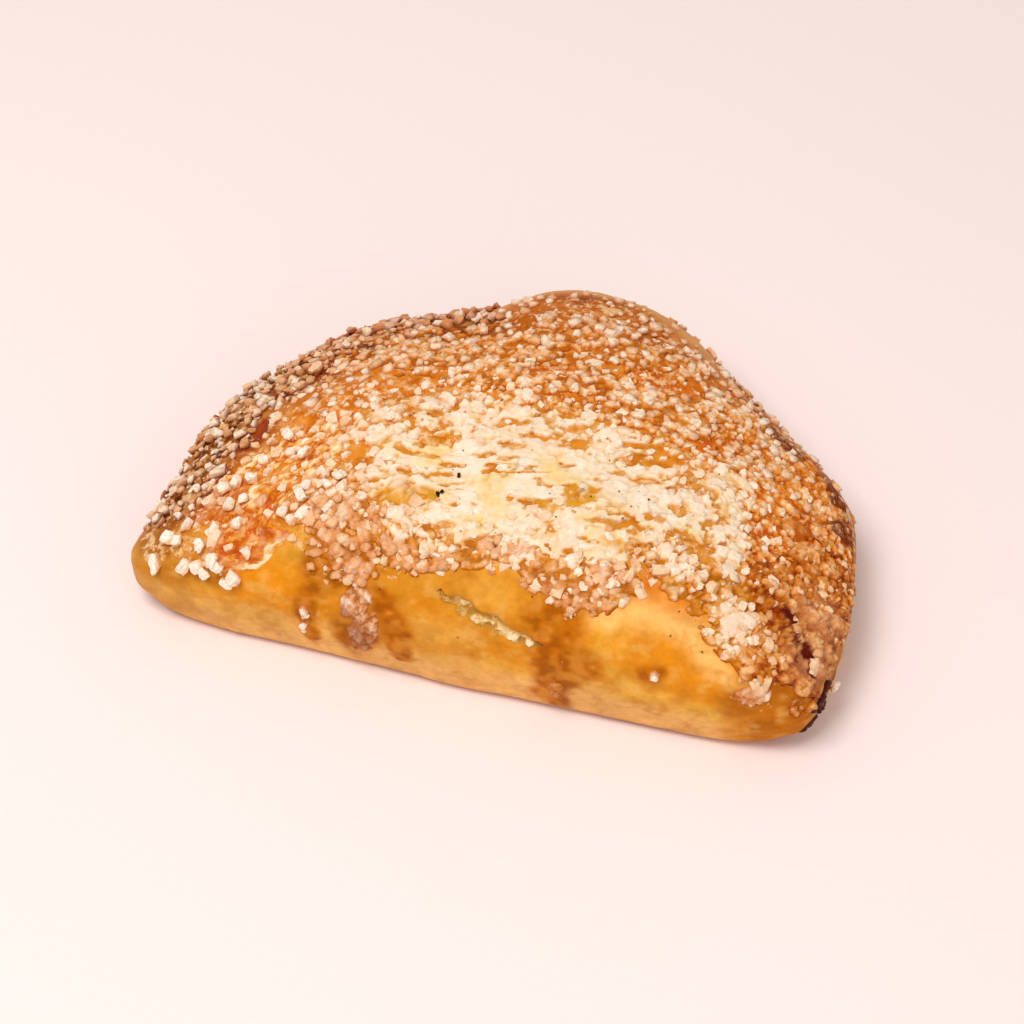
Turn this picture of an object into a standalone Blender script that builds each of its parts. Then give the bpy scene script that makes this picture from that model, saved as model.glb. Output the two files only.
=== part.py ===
"""A half-moon turnover: one disc of laminated dough folded over its filling and baked.

Row frame: X runs along the fold, +Y points from the fold to the curved sealed edge, +Z is up.
The origin is the middle of the bounding box's base. Lengths are in metres.
"""

import bmesh
import bpy
import numpy as np

MM = 0.001

# Plan outline, measured from a middle point that lies just behind the fold.
HALF_LENGTH = 67.5 * MM
FOLD_REACH = 22.6 * MM
BACK_REACH = 64.6 * MM
FOLD_SQUARENESS = 6.6
BACK_ROUNDNESS = 2.0

# Vertical profile. The rim is where the side bulges furthest out, and the crest falls towards both ends.
CREST_HEIGHT = 34.2 * MM
LEFT_END_FALL = 13.5 * MM
RIGHT_END_FALL = 7.2 * MM
END_FALL_POWER = 2.2
FOLD_RIM_HEIGHT = 10.6 * MM
BACK_RIM_HEIGHT = 9.5 * MM
FOLD_FULLNESS = 2.25
BACK_FULLNESS = 2.75
BASE_FULLNESS = 4.6
BASE_FLATTENING = 1.03

# The seam between the two dough layers, all round the curved edge.
SEAM_HEIGHT = 8.5 * MM
SEAM_HALF_WIDTH = 1.6 * MM
SEAM_DEPTH = 1.1 * MM

# Quads along each edge of the six patches that cover the form.
PATCH_QUADS = 24

# Unevenness of the hand-made outline: angle from +X and half-angle in degrees, and how far it swells.
OUTLINE_SWELLS = {
    "right_tip": (2, 9, 0.3 * MM),
    "right_back_corner": (26, 7, 2.7 * MM),
    "right_back_flat": (50, 9, -1.9 * MM),
    "hump_right": (73, 8, 3.3 * MM),
    "hump_left": (90, 9, 5.1 * MM),
    "hollow_left_of_hump": (110, 9, -2.9 * MM),
    "left_back": (132, 11, -0.7 * MM),
    "left_tip": (176, 8, -1.0 * MM),
    "left_fold_corner": (-162, 6, 2.2 * MM),
    "fold_middle": (-90, 25, 0.8 * MM),
    "right_fold_corner": (-13, 5, -1.3 * MM),
}

# Swells and dips of the top: centre x, y, half-widths in x and y, and height.
TOP_SWELLS = {
    "hump": (13 * MM, 36 * MM, 19 * MM, 12 * MM, 1.2 * MM),
    "dip": (-16 * MM, 42 * MM, 12 * MM, 10 * MM, -2.0 * MM),
    "left_shoulder": (-36 * MM, 4 * MM, 16 * MM, 12 * MM, 1.0 * MM),
    "middle_sag": (-4 * MM, 4 * MM, 13 * MM, 9 * MM, -1.0 * MM),
    "right_shoulder": (30 * MM, -2 * MM, 15 * MM, 11 * MM, 0.9 * MM),
}

# Long soft ripples in the baked skin: waves across the plan, their direction and their height.
RIPPLES = (
    (31 * MM, 20, 0.35 * MM),
    (22 * MM, 75, 0.30 * MM),
    (17 * MM, 130, 0.22 * MM),
)

CRUST_COLOUR = (0.72, 0.36, 0.09, 1.0)
CRUST_ROUGHNESS = 0.55


def clear_scene():
    for obj in list(bpy.data.objects):
        bpy.data.objects.remove(obj, do_unlink=True)


def smooth_step(low, high, value):
    share = np.clip((value - low) / (high - low), 0.0, 1.0)
    return share * share * (3.0 - 2.0 * share)


def bell(distance, half_width):
    return np.exp(-0.5 * (distance / half_width) ** 2)


def superellipse_reach(along, across, half_along, half_across, power):
    """Distance from the centre to a superellipse, in the unit direction (along, across)."""
    return ((np.abs(along) / half_along) ** power + (np.abs(across) / half_across) ** power) ** (-1.0 / power)


def outline_reach(angle):
    """Plan distance from the middle point to the outline: square at the fold, round at the back."""
    along, across = np.cos(angle), np.sin(angle)
    fold = superellipse_reach(along, across, HALF_LENGTH, FOLD_REACH, FOLD_SQUARENESS)
    back = superellipse_reach(along, across, HALF_LENGTH, BACK_REACH, BACK_ROUNDNESS)
    reach = np.where(across < 0.0, fold, back)
    for swell_angle, half_angle, amount in OUTLINE_SWELLS.values():
        apart = (np.degrees(angle) - swell_angle + 180.0) % 360.0 - 180.0
        reach = reach + amount * bell(apart, half_angle)
    return reach


def crest_height(x, y):
    """Height that the top would have at x, y if it didn't fall towards the outline."""
    end_fall = np.where(x < 0.0, LEFT_END_FALL, RIGHT_END_FALL)
    height = CREST_HEIGHT - end_fall * (np.abs(x) / HALF_LENGTH) ** END_FALL_POWER
    for centre_x, centre_y, half_x, half_y, amount in TOP_SWELLS.values():
        height += amount * bell(x - centre_x, half_x) * bell(y - centre_y, half_y)
    for wavelength, direction, amount in RIPPLES:
        along = x * np.cos(np.radians(direction)) + y * np.sin(np.radians(direction))
        height += amount * np.sin(2.0 * np.pi * along / wavelength)
    return height


def turnover_points(directions):
    """Carries unit directions onto the turnover's skin.

    Each vertical half-plane through the middle point cuts the skin in a superellipse: its width is
    the outline's reach, its upper half rises from the rim to the crest, and its lower half is a
    fuller curve that is cut off flat at the base.
    """
    angle = np.arctan2(directions[:, 1], directions[:, 0])
    level = np.hypot(directions[:, 0], directions[:, 1])
    rise = directions[:, 2]
    towards_back = smooth_step(-0.5, 0.5, np.sin(angle))

    top_power = FOLD_FULLNESS + (BACK_FULLNESS - FOLD_FULLNESS) * towards_back
    power = np.where(rise > 0.0, top_power, BASE_FULLNESS)
    scale = (level**power + np.abs(rise) ** power) ** (-1.0 / power)
    outward, upward = level * scale, rise * scale

    reach = outline_reach(angle) * outward
    x, y = reach * np.cos(angle), reach * np.sin(angle)
    rim = FOLD_RIM_HEIGHT + (BACK_RIM_HEIGHT - FOLD_RIM_HEIGHT) * towards_back
    over_rim = rim + (crest_height(x, y) - rim) * upward
    under_rim = rim * (1.0 + np.maximum(upward * BASE_FLATTENING, -1.0))
    z = np.where(upward > 0.0, over_rim, under_rim)

    sealed = smooth_step(-0.2, 0.15, np.sin(angle)) * smooth_step(0.8, 0.95, outward)
    reach = reach - SEAM_DEPTH * sealed * bell(z - SEAM_HEIGHT, SEAM_HALF_WIDTH)
    return np.column_stack((reach * np.cos(angle), reach * np.sin(angle), z))


def make_turnover(collection):
    """A cube with each face cut into equal-angle quads, blown up to a ball and then to the turnover."""
    form = bmesh.new()
    bmesh.ops.create_cube(form, size=2.0)
    bmesh.ops.subdivide_edges(form, edges=form.edges[:], cuts=PATCH_QUADS - 1, use_grid_fill=True)
    cube = np.array([vertex.co for vertex in form.verts])
    directions = np.tan(cube * np.pi / 4.0)
    directions /= np.linalg.norm(directions, axis=1)[:, None]
    points = turnover_points(directions)
    middle = (points.min(axis=0) + points.max(axis=0)) / 2.0
    points -= (middle[0], middle[1], 0.0)
    for vertex, point in zip(form.verts, points):
        vertex.co = point
    bmesh.ops.recalc_face_normals(form, faces=form.faces[:])

    mesh = bpy.data.meshes.new("turnover")
    form.to_mesh(mesh)
    form.free()
    mesh.shade_smooth()
    turnover = bpy.data.objects.new("turnover", mesh)
    collection.objects.link(turnover)
    return turnover


def crust_material():
    material = bpy.data.materials.new("baked_crust")
    material.use_nodes = True
    shader = material.node_tree.nodes["Principled BSDF"]
    shader.inputs["Base Color"].default_value = CRUST_COLOUR
    shader.inputs["Roughness"].default_value = CRUST_ROUGHNESS
    shader.inputs["Metallic"].default_value = 0.0
    return material


def main():
    clear_scene()
    collection = bpy.data.collections.new("turnover_pastry")
    bpy.context.scene.collection.children.link(collection)
    turnover = make_turnover(collection)
    turnover.data.materials.append(crust_material())


main()
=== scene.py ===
import itertools
import math

import bpy
import numpy as np
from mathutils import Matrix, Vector


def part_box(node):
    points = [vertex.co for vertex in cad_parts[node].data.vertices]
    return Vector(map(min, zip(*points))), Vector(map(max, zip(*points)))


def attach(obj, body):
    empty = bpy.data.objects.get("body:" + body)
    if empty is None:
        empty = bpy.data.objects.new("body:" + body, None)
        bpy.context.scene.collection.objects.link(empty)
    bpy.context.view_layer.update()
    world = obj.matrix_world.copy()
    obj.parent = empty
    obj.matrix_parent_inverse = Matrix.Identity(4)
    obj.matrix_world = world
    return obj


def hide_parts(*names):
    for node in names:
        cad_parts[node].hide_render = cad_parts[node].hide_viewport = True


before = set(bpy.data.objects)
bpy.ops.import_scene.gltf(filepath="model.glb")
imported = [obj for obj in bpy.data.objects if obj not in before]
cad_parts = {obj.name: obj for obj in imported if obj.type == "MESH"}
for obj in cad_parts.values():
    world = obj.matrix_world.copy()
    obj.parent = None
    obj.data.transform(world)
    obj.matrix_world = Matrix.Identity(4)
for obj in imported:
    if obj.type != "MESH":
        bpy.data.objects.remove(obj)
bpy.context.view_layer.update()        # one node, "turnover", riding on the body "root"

mm = 0.001
eighth = math.pi / 4.0
print("packed model loaded")


def latticeValue(ix, iy, iz, seed):
    # every lattice point's number, mixed until it looks random, then brought to -1..1
    mixed = (ix * 374761393 + iy * 668265263 + iz * 951274213 + seed * 1274126177) & 0xFFFFFFFF
    mixed = ((mixed ^ (mixed >> 13)) * 1103515245) & 0xFFFFFFFF
    mixed = ((mixed ^ (mixed >> 15)) * 668265263) & 0xFFFFFFFF
    return ((mixed ^ (mixed >> 16)) & 0xFFFFFF) / float(0x7FFFFF) - 1.0


def noise(points, size, seed):
    # value noise: the eight lattice values round a point, blended by f*f*(3 - 2f) on each axis
    scaled = points / size
    cell = np.floor(scaled).astype(np.int64)
    part = scaled - cell
    blend = part * part * (3.0 - 2.0 * part)
    total = np.zeros(len(points))
    for corner in itertools.product((0, 1), repeat=3):
        weight = np.ones(len(points))
        for axis in range(3):
            weight = weight * (blend[:, axis] if corner[axis] else 1.0 - blend[:, axis])
        total += weight * latticeValue(*(cell + corner).T, seed)
    return total


def layered(points, size, seed, octaves=3):
    # noise at size, size/2, size/4 ..., each octave half as strong as the one before
    total = sum(noise(points, size / 2.0**k, seed + 17 * k) / 2.0**k for k in range(octaves))
    return total / (2.0 - 2.0 ** (1 - octaves))


def warped(points, size, amount, seed):
    # points moved about by three noises, so that straight borders turn ragged
    push = np.column_stack([layered(points, size, seed + 5 * axis, 2) for axis in range(3)])
    return points + amount * push


# one block of fused sugar
block = {
    "jitter": 0.42,               # how far it leaves the middle of its cell, as a share of the cell
    "lean": 0.6,                  # its greatest lean, in radians
    "sizeSpread": 0.28,           # how much the sizes differ
    "narrow": (1.15, 0.8),        # its second and third half-widths are the first over these
    "slant": 0.30,                # how much its top slants
    "slantTurn": 7.0,             # the slant faces this many radians times the block's own number
}


def lumps(points, size, seed, fill=0.62, sharp=4.0, missing=0.0, vary=0.4, steep=2.6):
    # fused crystals: the highest of the blocks in the 27 cells round a point. A block is t*(2 - t) with t
    # = steep*(1 - d) cut at 1, d a sharp-cornered distance in its own turned frame, and its top is tilted
    cell = np.floor(points / size).astype(np.int64)
    best, owner = np.zeros(len(points)), np.zeros(len(points))
    for near in itertools.product((-1, 0, 1), repeat=3):
        ix, iy, iz = (cell + near).T
        jitter = [0.5 + block["jitter"] * latticeValue(ix, iy, iz, seed + k) for k in range(3)]
        off = points - np.column_stack((ix + jitter[0], iy + jitter[1], iz + jitter[2])) * size
        turn = math.pi * latticeValue(ix, iy, iz, seed + 3)
        lean = block["lean"] * latticeValue(ix, iy, iz, seed + 4)
        a = off[:, 0] * np.cos(turn) + off[:, 1] * np.sin(turn)
        b = off[:, 1] * np.cos(turn) - off[:, 0] * np.sin(turn)
        c = off[:, 2] * np.cos(lean) + a * np.sin(lean)
        a = a * np.cos(lean) - off[:, 2] * np.sin(lean)
        own = latticeValue(ix, iy, iz, seed + 5)
        reach = size * fill * (1.0 + block["sizeSpread"] * own)
        narrowB, narrowC = block["narrow"]
        boxy = np.abs(a) ** sharp + np.abs(b * narrowB) ** sharp + np.abs(c * narrowC) ** sharp
        far = boxy ** (1.0 / sharp) / reach
        tall = 1.0 - 0.5 * vary + 0.5 * vary * latticeValue(ix, iy, iz, seed + 6)
        tall = tall * (latticeValue(ix, iy, iz, seed + 7) >= 2.0 * missing - 1.0)
        t = np.clip((1.0 - far) * steep, 0.0, 1.0)
        facing = block["slantTurn"] * own
        slant = block["slant"] * (a * np.cos(facing) + b * np.sin(facing)) / reach
        dome = t * (2.0 - t) * tall * (1.0 + slant)
        owner = np.where(dome > best, own, owner)
        best = np.maximum(best, dome)
    return best, owner


def ramp(low, high, value):
    # smooth step: t*t*(3 - 2t), with t going from 0 at low to 1 at high
    t = np.clip((value - low) / (high - low), 0.0, 1.0)
    return t * t * (3.0 - 2.0 * t)


def bell(distance, half):
    # exp(-d^2 / 2), with d the distance over the half-width
    return np.exp(-0.5 * (distance / half) ** 2)


def linear(code):
    # sRGB hex to linear: ((c + 0.055)/1.055)^2.4 above 0.04045, c/12.92 below
    value = np.array([int(code[i:i + 2], 16) for i in (1, 3, 5)]) / 255.0
    return np.where(value > 0.04045, ((value + 0.055) / 1.055) ** 2.4, value / 12.92)


def tinted(colour, code, amount):
    # each row of colour, moved towards the hex colour by its amount
    return colour + (linear(code) - colour) * np.clip(amount, 0.0, 1.0)[:, None]


def tintedInTurn(colour, tintPairs):
    # tinted by each pair of a hex colour and its amount in turn
    for code, amount in tintPairs:
        colour = tinted(colour, code, amount)
    return colour


def scale(codes, stops, value):
    # a colour scale: linear light blended between hex colours at rising stops
    table = np.array([linear(code) for code in codes])
    return np.column_stack([np.interp(value, stops, table[:, k]) for k in range(3)])


# the baked form: the same outline and profile as the solid, at a finer grain, in millimetres
form = {
    "halfLength": 67.5, "foldReach": 22.6, "backReach": 64.6, "foldSquareness": 6.6, "backRoundness": 2.0,
    "crest": 34.2, "leftFall": 13.5, "rightFall": 7.2, "fallPower": 2.2,
    "foldRim": 10.6, "backRim": 9.5, "foldFullness": 2.25, "backFullness": 2.75,
    "baseFullness": 4.6, "baseFlattening": 1.03,
    "seamHeight": 8.5, "seamHalf": 1.6, "seamDepth": 1.1,
    # angle from +X and half-angle in degrees, swell
    "outlineSwells": (
        (2, 9, 0.3), (26, 7, 2.7), (50, 9, -1.9), (73, 8, 3.3), (90, 9, 5.1), (110, 9, -2.9),
        (132, 11, -0.7), (176, 8, -1.0), (-162, 6, 2.2), (-90, 25, 0.8), (-13, 5, -1.3),
    ),
    # centre x, y, half-widths, height
    "topSwells": ((13, 36, 19, 12, 1.2), (-16, 42, 12, 10, -2.0), (-36, 4, 16, 12, 1.0),
                  (-4, 4, 13, 9, -1.0), (30, -2, 15, 11, 0.9)),
    "ripples": ((31, 20, 0.35), (22, 75, 0.30), (17, 130, 0.22)),
    "grid": (184, 126, 84),       # quads along X, Y and Z on the six sides of the cover
    "inset": 0.50,                # depth of the crust under the solid's skin, to leave room for the sugar
}


def outlineReach(angle):
    # plan distance to the outline: a superellipse (|c/a|^n + |s/b|^n)^(-1/n), squarer at the fold
    c, s = np.cos(angle), np.sin(angle)
    reach = np.zeros(len(angle))
    for behind, half, power in ((False, form["foldReach"], form["foldSquareness"]),
                                (True, form["backReach"], form["backRoundness"])):
        shape = (np.abs(c / form["halfLength"]) ** power + np.abs(s / half) ** power) ** (-1.0 / power)
        reach = np.where((s >= 0.0) == behind, shape, reach)
    for centre, half, amount in form["outlineSwells"]:
        reach += amount * bell((np.degrees(angle) - centre + 180.0) % 360.0 - 180.0, half)
    return reach


def crestHeight(x, y):
    # height of the top inside the outline: lower towards both ends, with swells and ripples
    fall = np.where(x < 0.0, form["leftFall"], form["rightFall"])
    height = form["crest"] - fall * (np.abs(x) / form["halfLength"]) ** form["fallPower"]
    for cx, cy, halfX, halfY, amount in form["topSwells"]:
        height = height + amount * bell(x - cx, halfX) * bell(y - cy, halfY)
    for wave, direction, amount in form["ripples"]:
        along = x * math.cos(math.radians(direction)) + y * math.sin(math.radians(direction))
        height = height + amount * np.sin(2.0 * math.pi * along / wave)
    return height


def rawSkin(box):
    # a point of a box round the pastry is carried to a superellipse profile, outward^p + upward^p = 1,
    # where outward : upward is its plan distance over the outline's : its height
    angle = np.arctan2(box[:, 1], box[:, 0])
    edge = outlineReach(angle)
    level, rise = np.hypot(box[:, 0], box[:, 1]) / edge, box[:, 2]
    behind = ramp(-0.5, 0.5, np.sin(angle))
    fullness = form["foldFullness"] + (form["backFullness"] - form["foldFullness"]) * behind
    power = np.where(rise > 0.0, fullness, form["baseFullness"])
    size = (level**power + np.abs(rise) ** power) ** (-1.0 / power)
    outward, upward = level * size, rise * size
    reach = edge * outward
    rim = form["foldRim"] + (form["backRim"] - form["foldRim"]) * behind
    crest = crestHeight(reach * np.cos(angle), reach * np.sin(angle))
    z = np.where(upward > 0.0, rim + (crest - rim) * upward,
                 rim * (1.0 + np.maximum(upward * form["baseFlattening"], -1.0)))
    sealed = ramp(-0.2, 0.15, np.sin(angle)) * ramp(0.8, 0.95, outward)
    reach = reach - form["seamDepth"] * sealed * bell(z - form["seamHeight"], form["seamHalf"])
    return np.column_stack((reach * np.cos(angle), reach * np.sin(angle), z))


def boxPlace(u, v, w):
    # u, v and w of -1..1 at equal angles, on the box from the fold to the back
    depth = (form["backReach"] + form["foldReach"]) / 2.0
    middle = (form["backReach"] - form["foldReach"]) / 2.0
    return np.column_stack((form["halfLength"] * np.tan(u * eighth), middle + depth * np.tan(v * eighth),
                            np.tan(w * eighth)))


def boxCover(counts):
    # lattice points on the six sides of a box; the edges that sides share are merged
    lattice, quads = [], []
    for axis in range(3):
        u, v = [a for a in range(3) if a != axis]
        for side in (0, counts[axis]):
            i, j = np.meshgrid(np.arange(counts[u] + 1), np.arange(counts[v] + 1), indexing="ij")
            point = np.zeros(i.shape + (3,), np.int64)
            point[..., u], point[..., v], point[..., axis] = i, j, side
            number = sum(len(part) for part in lattice) + np.arange(i.size).reshape(i.shape)
            ring = [number[:-1, :-1], number[1:, :-1], number[1:, 1:], number[:-1, 1:]]
            if (side == 0) != (axis == 1):
                ring.reverse()
            lattice.append(point.reshape(-1, 3))
            quads.append(np.stack(ring, axis=-1).reshape(-1, 4))
    lattice, quads = np.concatenate(lattice), np.concatenate(quads)
    key = (lattice[:, 0] * (counts[1] + 1) + lattice[:, 1]) * (counts[2] + 1) + lattice[:, 2]
    first, place = np.unique(key, return_index=True, return_inverse=True)[1:]
    return lattice[first] / np.array(counts) * 2.0 - 1.0, place.ravel()[quads]


def vertexNormals(points, quads):
    # the sum of the crossed diagonals of the quads round each vertex, brought to length 1
    cross = np.cross(points[quads[:, 2]] - points[quads[:, 0]], points[quads[:, 3]] - points[quads[:, 1]])
    total = np.zeros_like(points)
    for axis in range(3):
        for corner in range(4):
            total[:, axis] += np.bincount(quads[:, corner], cross[:, axis], len(points))
    return total / np.maximum(np.linalg.norm(total, axis=1), 1e-12)[:, None]


nodeLow, nodeHigh = (np.array(corner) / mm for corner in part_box("turnover"))
roomAbove = 0.8               # how far sugar may stand over the solid's top
coarseCover = (90, 60, 40)    # a cover that is fine enough to measure the form's own box
coarsePoints = rawSkin(boxPlace(*boxCover(coarseCover)[0].T))
stretch = (nodeHigh - nodeLow) / np.ptp(coarsePoints, axis=0)
shift = nodeLow - coarsePoints.min(axis=0) * stretch


def skin(u, v, w):
    # the formula's skin, stretched by a hair so that its box is the solid's box
    return rawSkin(boxPlace(u, v, w)) * stretch + shift


def foldAngle(points):
    # compass angle round the outline's middle point, in degrees: -90 faces the fold, 90 the sealed edge
    return np.degrees(np.arctan2(points[:, 1] - shift[1], points[:, 0] - shift[0]))


# where things lie on the pastry, in millimetres: x along the fold, y towards the sealed edge, z up.
# Each row is a soft ellipse: two centre places, two half-widths, and a turn in degrees if it has one
zones = {
    # where the sugar melted into one pale sheet
    "melted": (
        (-9, -13, 20, 12), (14, -14, 22, 13, -4), (36, -17, 12, 9, -35), (-3, -26, 24, 6),
        (22, -28, 15, 5), (41, -9, 6, 6, -30), (50, -36, 5, 3.4, -20), (-4, -34, 17, 3), (18, -33, 12, 3),
    ),
    # sugared band along the top of the fold, where grains stick in amber glaze
    "lower": (
        (-17, -36, 9, 4.5), (-3, -37, 10, 3, 4), (12, -37, 9, 3.5, -4), (24, -37, 8, 4),
        (36, -31, 8, 4, -20), (47, -32, 6, 5), (-28, -31, 6, 7), (54, -38, 5, 4), (45, -37, 4, 3),
        (51, -41, 4, 2),
    ),
    # where it flowed smooth, with hardly a crystal left standing
    "smooth": ((2, -19, 24, 5), (-8, -30, 14, 3), (-14, -17, 6, 4), (30, -20, 8, 4, -20), (6, -26, 18, 4)),
    # bare gaps in that sheet
    "gaps": (
        (-24, -12, 3.2, 0.9, 18), (-27, -20, 4.2, 1.1, 20), (-25, -27, 5.5, 1.0, 18),
        (-13, -14, 2.4, 1.0, 14), (-11, -13, 1.0, 2.2, 20), (-9, -19, 2.4, 0.7, 10),
        (-1, -7, 3.2, 0.8, 18), (6, -9, 3.6, 0.7, 16), (12, -4, 3.8, 0.9, 14), (21, -9, 2.6, 1.1, 24),
        (26, -12, 3, 0.8), (-7, -33, 3, 1.0, 20), (38, -24, 4.2, 1.2, -20), (42, -27, 2.8, 1.2, -20),
        (33, -17, 2, 0.8, 10), (1, -35, 3, 1.0, 14), (5, -36, 1.2, 1.6, 30), (-10, -37, 1.8, 1.6),
        (16, -19, 3, 0.5, 15), (3, -18, 5, 0.4, 14),
    ),
    # where the fruit filling shines through, yellow and a little green
    "green": (
        (-16, -29.5, 4.2, 1.8, 10), (-11.5, -27.5, 2.0, 1.8), (16, -21, 3.0, 2.6, 30), (10, -25, 4, 0.9),
        (25, -30, 2.2, 1.2),
    ),
    # layers of dough torn into pale and orange streaks
    "flank": ((-45, -30, 9, 10, -30), (-38, -20, 7, 8, -30)),
    # pinkish clumps along the top of the fold
    "clumps": (
        (-27, -39, 4, 4.0), (-21, -41, 4, 4), (-31, -33, 5, 3.2, 10), (-15, -39, 4, 2.2),
        (-7, -40, 5, 1.8, 8), (-23, -34, 6, 2.6), (14, -38.5, 4, 2.2, -10), (21, -40, 4.6, 2.6),
        (26, -36, 4, 2.0), (6, -35, 6, 1.6),
    ),
    # browned lumps glazed with caramel at the right end
    "glazed": ((57, -30, 6, 9), (60, -18, 6, 8), (53, -22, 5, 6), (62, -36, 4, 5), (56, -40, 4, 2.4)),
    # places burnt to maroon or dark brown
    "scorched": (
        (57.5, -27.5, 2.8, 2.2), (61, -33.5, 4.0, 2.6, -40), (59, 6, 4.5, 2.6, -40), (47, 14, 6, 2, -35),
        (0, 35, 6, 1.8), (62, -2, 3, 3), (-40, 20, 6, 2, 35), (-52, 8, 4, 2, 40), (-63, -14, 2, 4),
        (-30, 24, 5, 2, 15),
    ),
    # orange and red places with hardly any sugar on them
    "bald": (
        (2, 9, 4.5, 1.1, 10), (22, 14, 3.6, 1.6, 16), (34, 1, 2.4, 1.4), (-47, 3, 4, 2.2, 20),
        (-36, 12, 4, 1.6, 30), (40, -6, 2.0, 1.4), (49, -14, 2.6, 1.6), (55, -8, 2.4, 1.6),
        (-35, -14, 3.6, 1.3, 16), (-20, 4, 2.4, 1.1, 10), (10, 20, 2.6, 0.9, 20), (-8, 17, 2.6, 0.9, 10),
        (46, 2, 2.6, 1.1, -30),
    ),
    # on the fold's face, as x and z: caramel that ran down
    "runs": (
        (17.0, 24, 5.6, 4.0), (18, 18, 5.2, 6.0), (17.5, 11, 4.2, 5.5), (23.5, 17, 3.0, 4.0, 25),
        (17.5, 5, 3.8, 2.8), (-13.5, 15, 3.4, 5.4, 25), (-11.5, 9, 2.4, 3.0), (-17, 20, 4.6, 3.0),
        (-19.5, 12, 4.4, 7.6, -14), (-29.8, 15, 2.0, 5.5), (-29.6, 8, 1.5, 2.8), (-27, 22, 4.4, 3.4),
        (36.0, 17.4, 2.4, 2.0),
    ),
    # flaky steps of dough at both ends
    "flakyEnds": ((-46, -26, 14, 12, 20), (-52, 6, 14, 14, 30), (58, -10, 9, 22)),
    # browner crust at the left end and behind it
    "brownEnds": (
        (-62, -24, 5, 11), (-60, -8, 6, 9, -20), (-51, 3, 9, 6, 35), (-42, 12, 10, 5, 30),
        (-26, 22, 12, 4, 8),
    ),
    # redder crust between the crystals of the left rim
    "redBrown": ((-54, -28, 3.0, 4.4), (-48, 3, 6, 3.0, 24), (-51, -14, 3, 6, -10)),
    # orange crust between the sugar
    "bareOrange": (
        (-35, -14, 3.6, 1.2, 10), (-35, -23, 1.3, 2.6), (2, 9, 6, 1.7, 5), (22, 14, 5, 2.6, 10),
        (40, -6, 3, 2), (34, 1, 4, 2, -10), (49, -14, 4, 2), (55, -18, 4, 2),
    ),
    # from here to wallGlow on the fold's face, as x and z: deep amber glaze
    "wallAmber": ((40, 21, 11, 5, -10), (-36, 18, 8, 4.5), (-43, 14, 4, 3)),
    # brown streaks on its left part
    "wallBrown": ((-59, 13, 4, 1.6), (-62, 17, 3, 2), (-50, 15, 5, 1.2)),
    # cream of thin sugar glaze under the sugar's front edge, with a painted highlight on it
    "wallCreamHighlight": (
        (36, 27.6, 7, 2.6), (43, 24.3, 6, 1.8, -32), (48.5, 19.5, 3, 1.4, -40), (26.5, 26, 3, 1.4),
    ),
    # browned places on its right part, and round the grain in the blister
    "wallScorch": (
        (51, 11.4, 2.2, 1.8), (57, 9, 3.4, 1.2), (59, 18, 3, 2.4), (62.5, 14, 1.2, 4),
        (36.0, 16.2, 1.7, 1.2), (53, 14, 2, 2.4),
    ),
    # pale places: a painted broad soft reflection on the glaze
    "wallPaintedSheen": ((-3, 16, 7, 3), (30, 11, 8, 2), (-42, 9, 9, 2.4), (44, 9, 7, 1.8), (-1, 9, 8, 2)),
    # light amber over the tear
    "wallGlow": ((5, 26, 6, 2.2),),
    # browned left front corner, and a pale place beside it
    "leftBrown": ((-63, -36, 3.4, 5), (-61, -41, 4, 2)),
    "leftPale": ((-47, -37.5, 3, 1.6),),
    # where the sheet is thick and full of pits
    "pebbled": ((-12, -4, 16, 6, 8), (-20, -20, 5, 8)),
    "pebbledFront": ((-4, -33, 16, 4, 3),),
    # on the fold's face, as x and z: sugar carried down by the glaze
    "drips": (
        (-20.6, 18.5, 2.4, 3.4, -14), (-18.4, 12, 2.4, 5, -14), (-30, 13.4, 0.9, 1.1),
        (-30, 9.5, 0.7, 1.1), (18.4, 8, 1.5, 1.3), (36.6, 17, 0.9, 0.7), (54, 16, 3, 1.4),
    ),
    # at the right end, as y and z: glazed lumps, and pale places on them
    "endFace": ((-22, 18, 16, 5), (-36, 17, 5, 4)),
    "endPale": ((-33, 17, 4, 3), (-24, 18, 3, 3)),
    # as x and z: the torn layers that reach down the fold's face
    "flankFace": ((-43, 22.5, 8.0, 3.2, 30),),
    # red glaze over the torn layers
    "flankRed": ((-44.5, -40.4, 4.4, 3.0), (-38.5, -38.4, 4.4, 2.2, 20)),
    # at the right end, as y and z: burnt juice
    "juice": ((-36, 8, 2.0, 3.2, 20), (-38, 4, 1.8, 2.0), (-33.5, 11, 1.4, 1.6)),
    # parts of the melted sheet that still hold whole crystals
    "wholeGrains": (
        (-18, -6, 14, 6, 10), (8, -3, 20, 4), (36, -14, 10, 10, -30), (24, -30, 14, 4),
        (-8, -31, 6, 3, 20), (0, -33, 14, 3), (46, -22, 5, 8, -20),
    ),
    # crystals on and round the torn layers
    "flankSugar": ((-52, -28, 5, 6), (-44, -18, 6, 5), (-36, -29, 5, 5), (-48, -36, 8, 4)),
}


def zone(across, along, *names):
    # the strongest of the named zones' soft ellipses, exp(-ln 2 * d^2): half as strong at the half-widths
    halving = 0.693               # ln 2, in three figures
    best = np.zeros(len(across))
    for centreA, centreB, halfA, halfB, *turn in sum((zones[name] for name in names), ()):
        c, s = math.cos(math.radians(sum(turn))), math.sin(math.radians(sum(turn)))
        da, db = across - centreA, along - centreB
        u, v = (da * c + db * s) / halfA, (db * c - da * s) / halfB
        best = np.maximum(best, np.exp(-halving * (u * u + v * v)))
    return best


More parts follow.
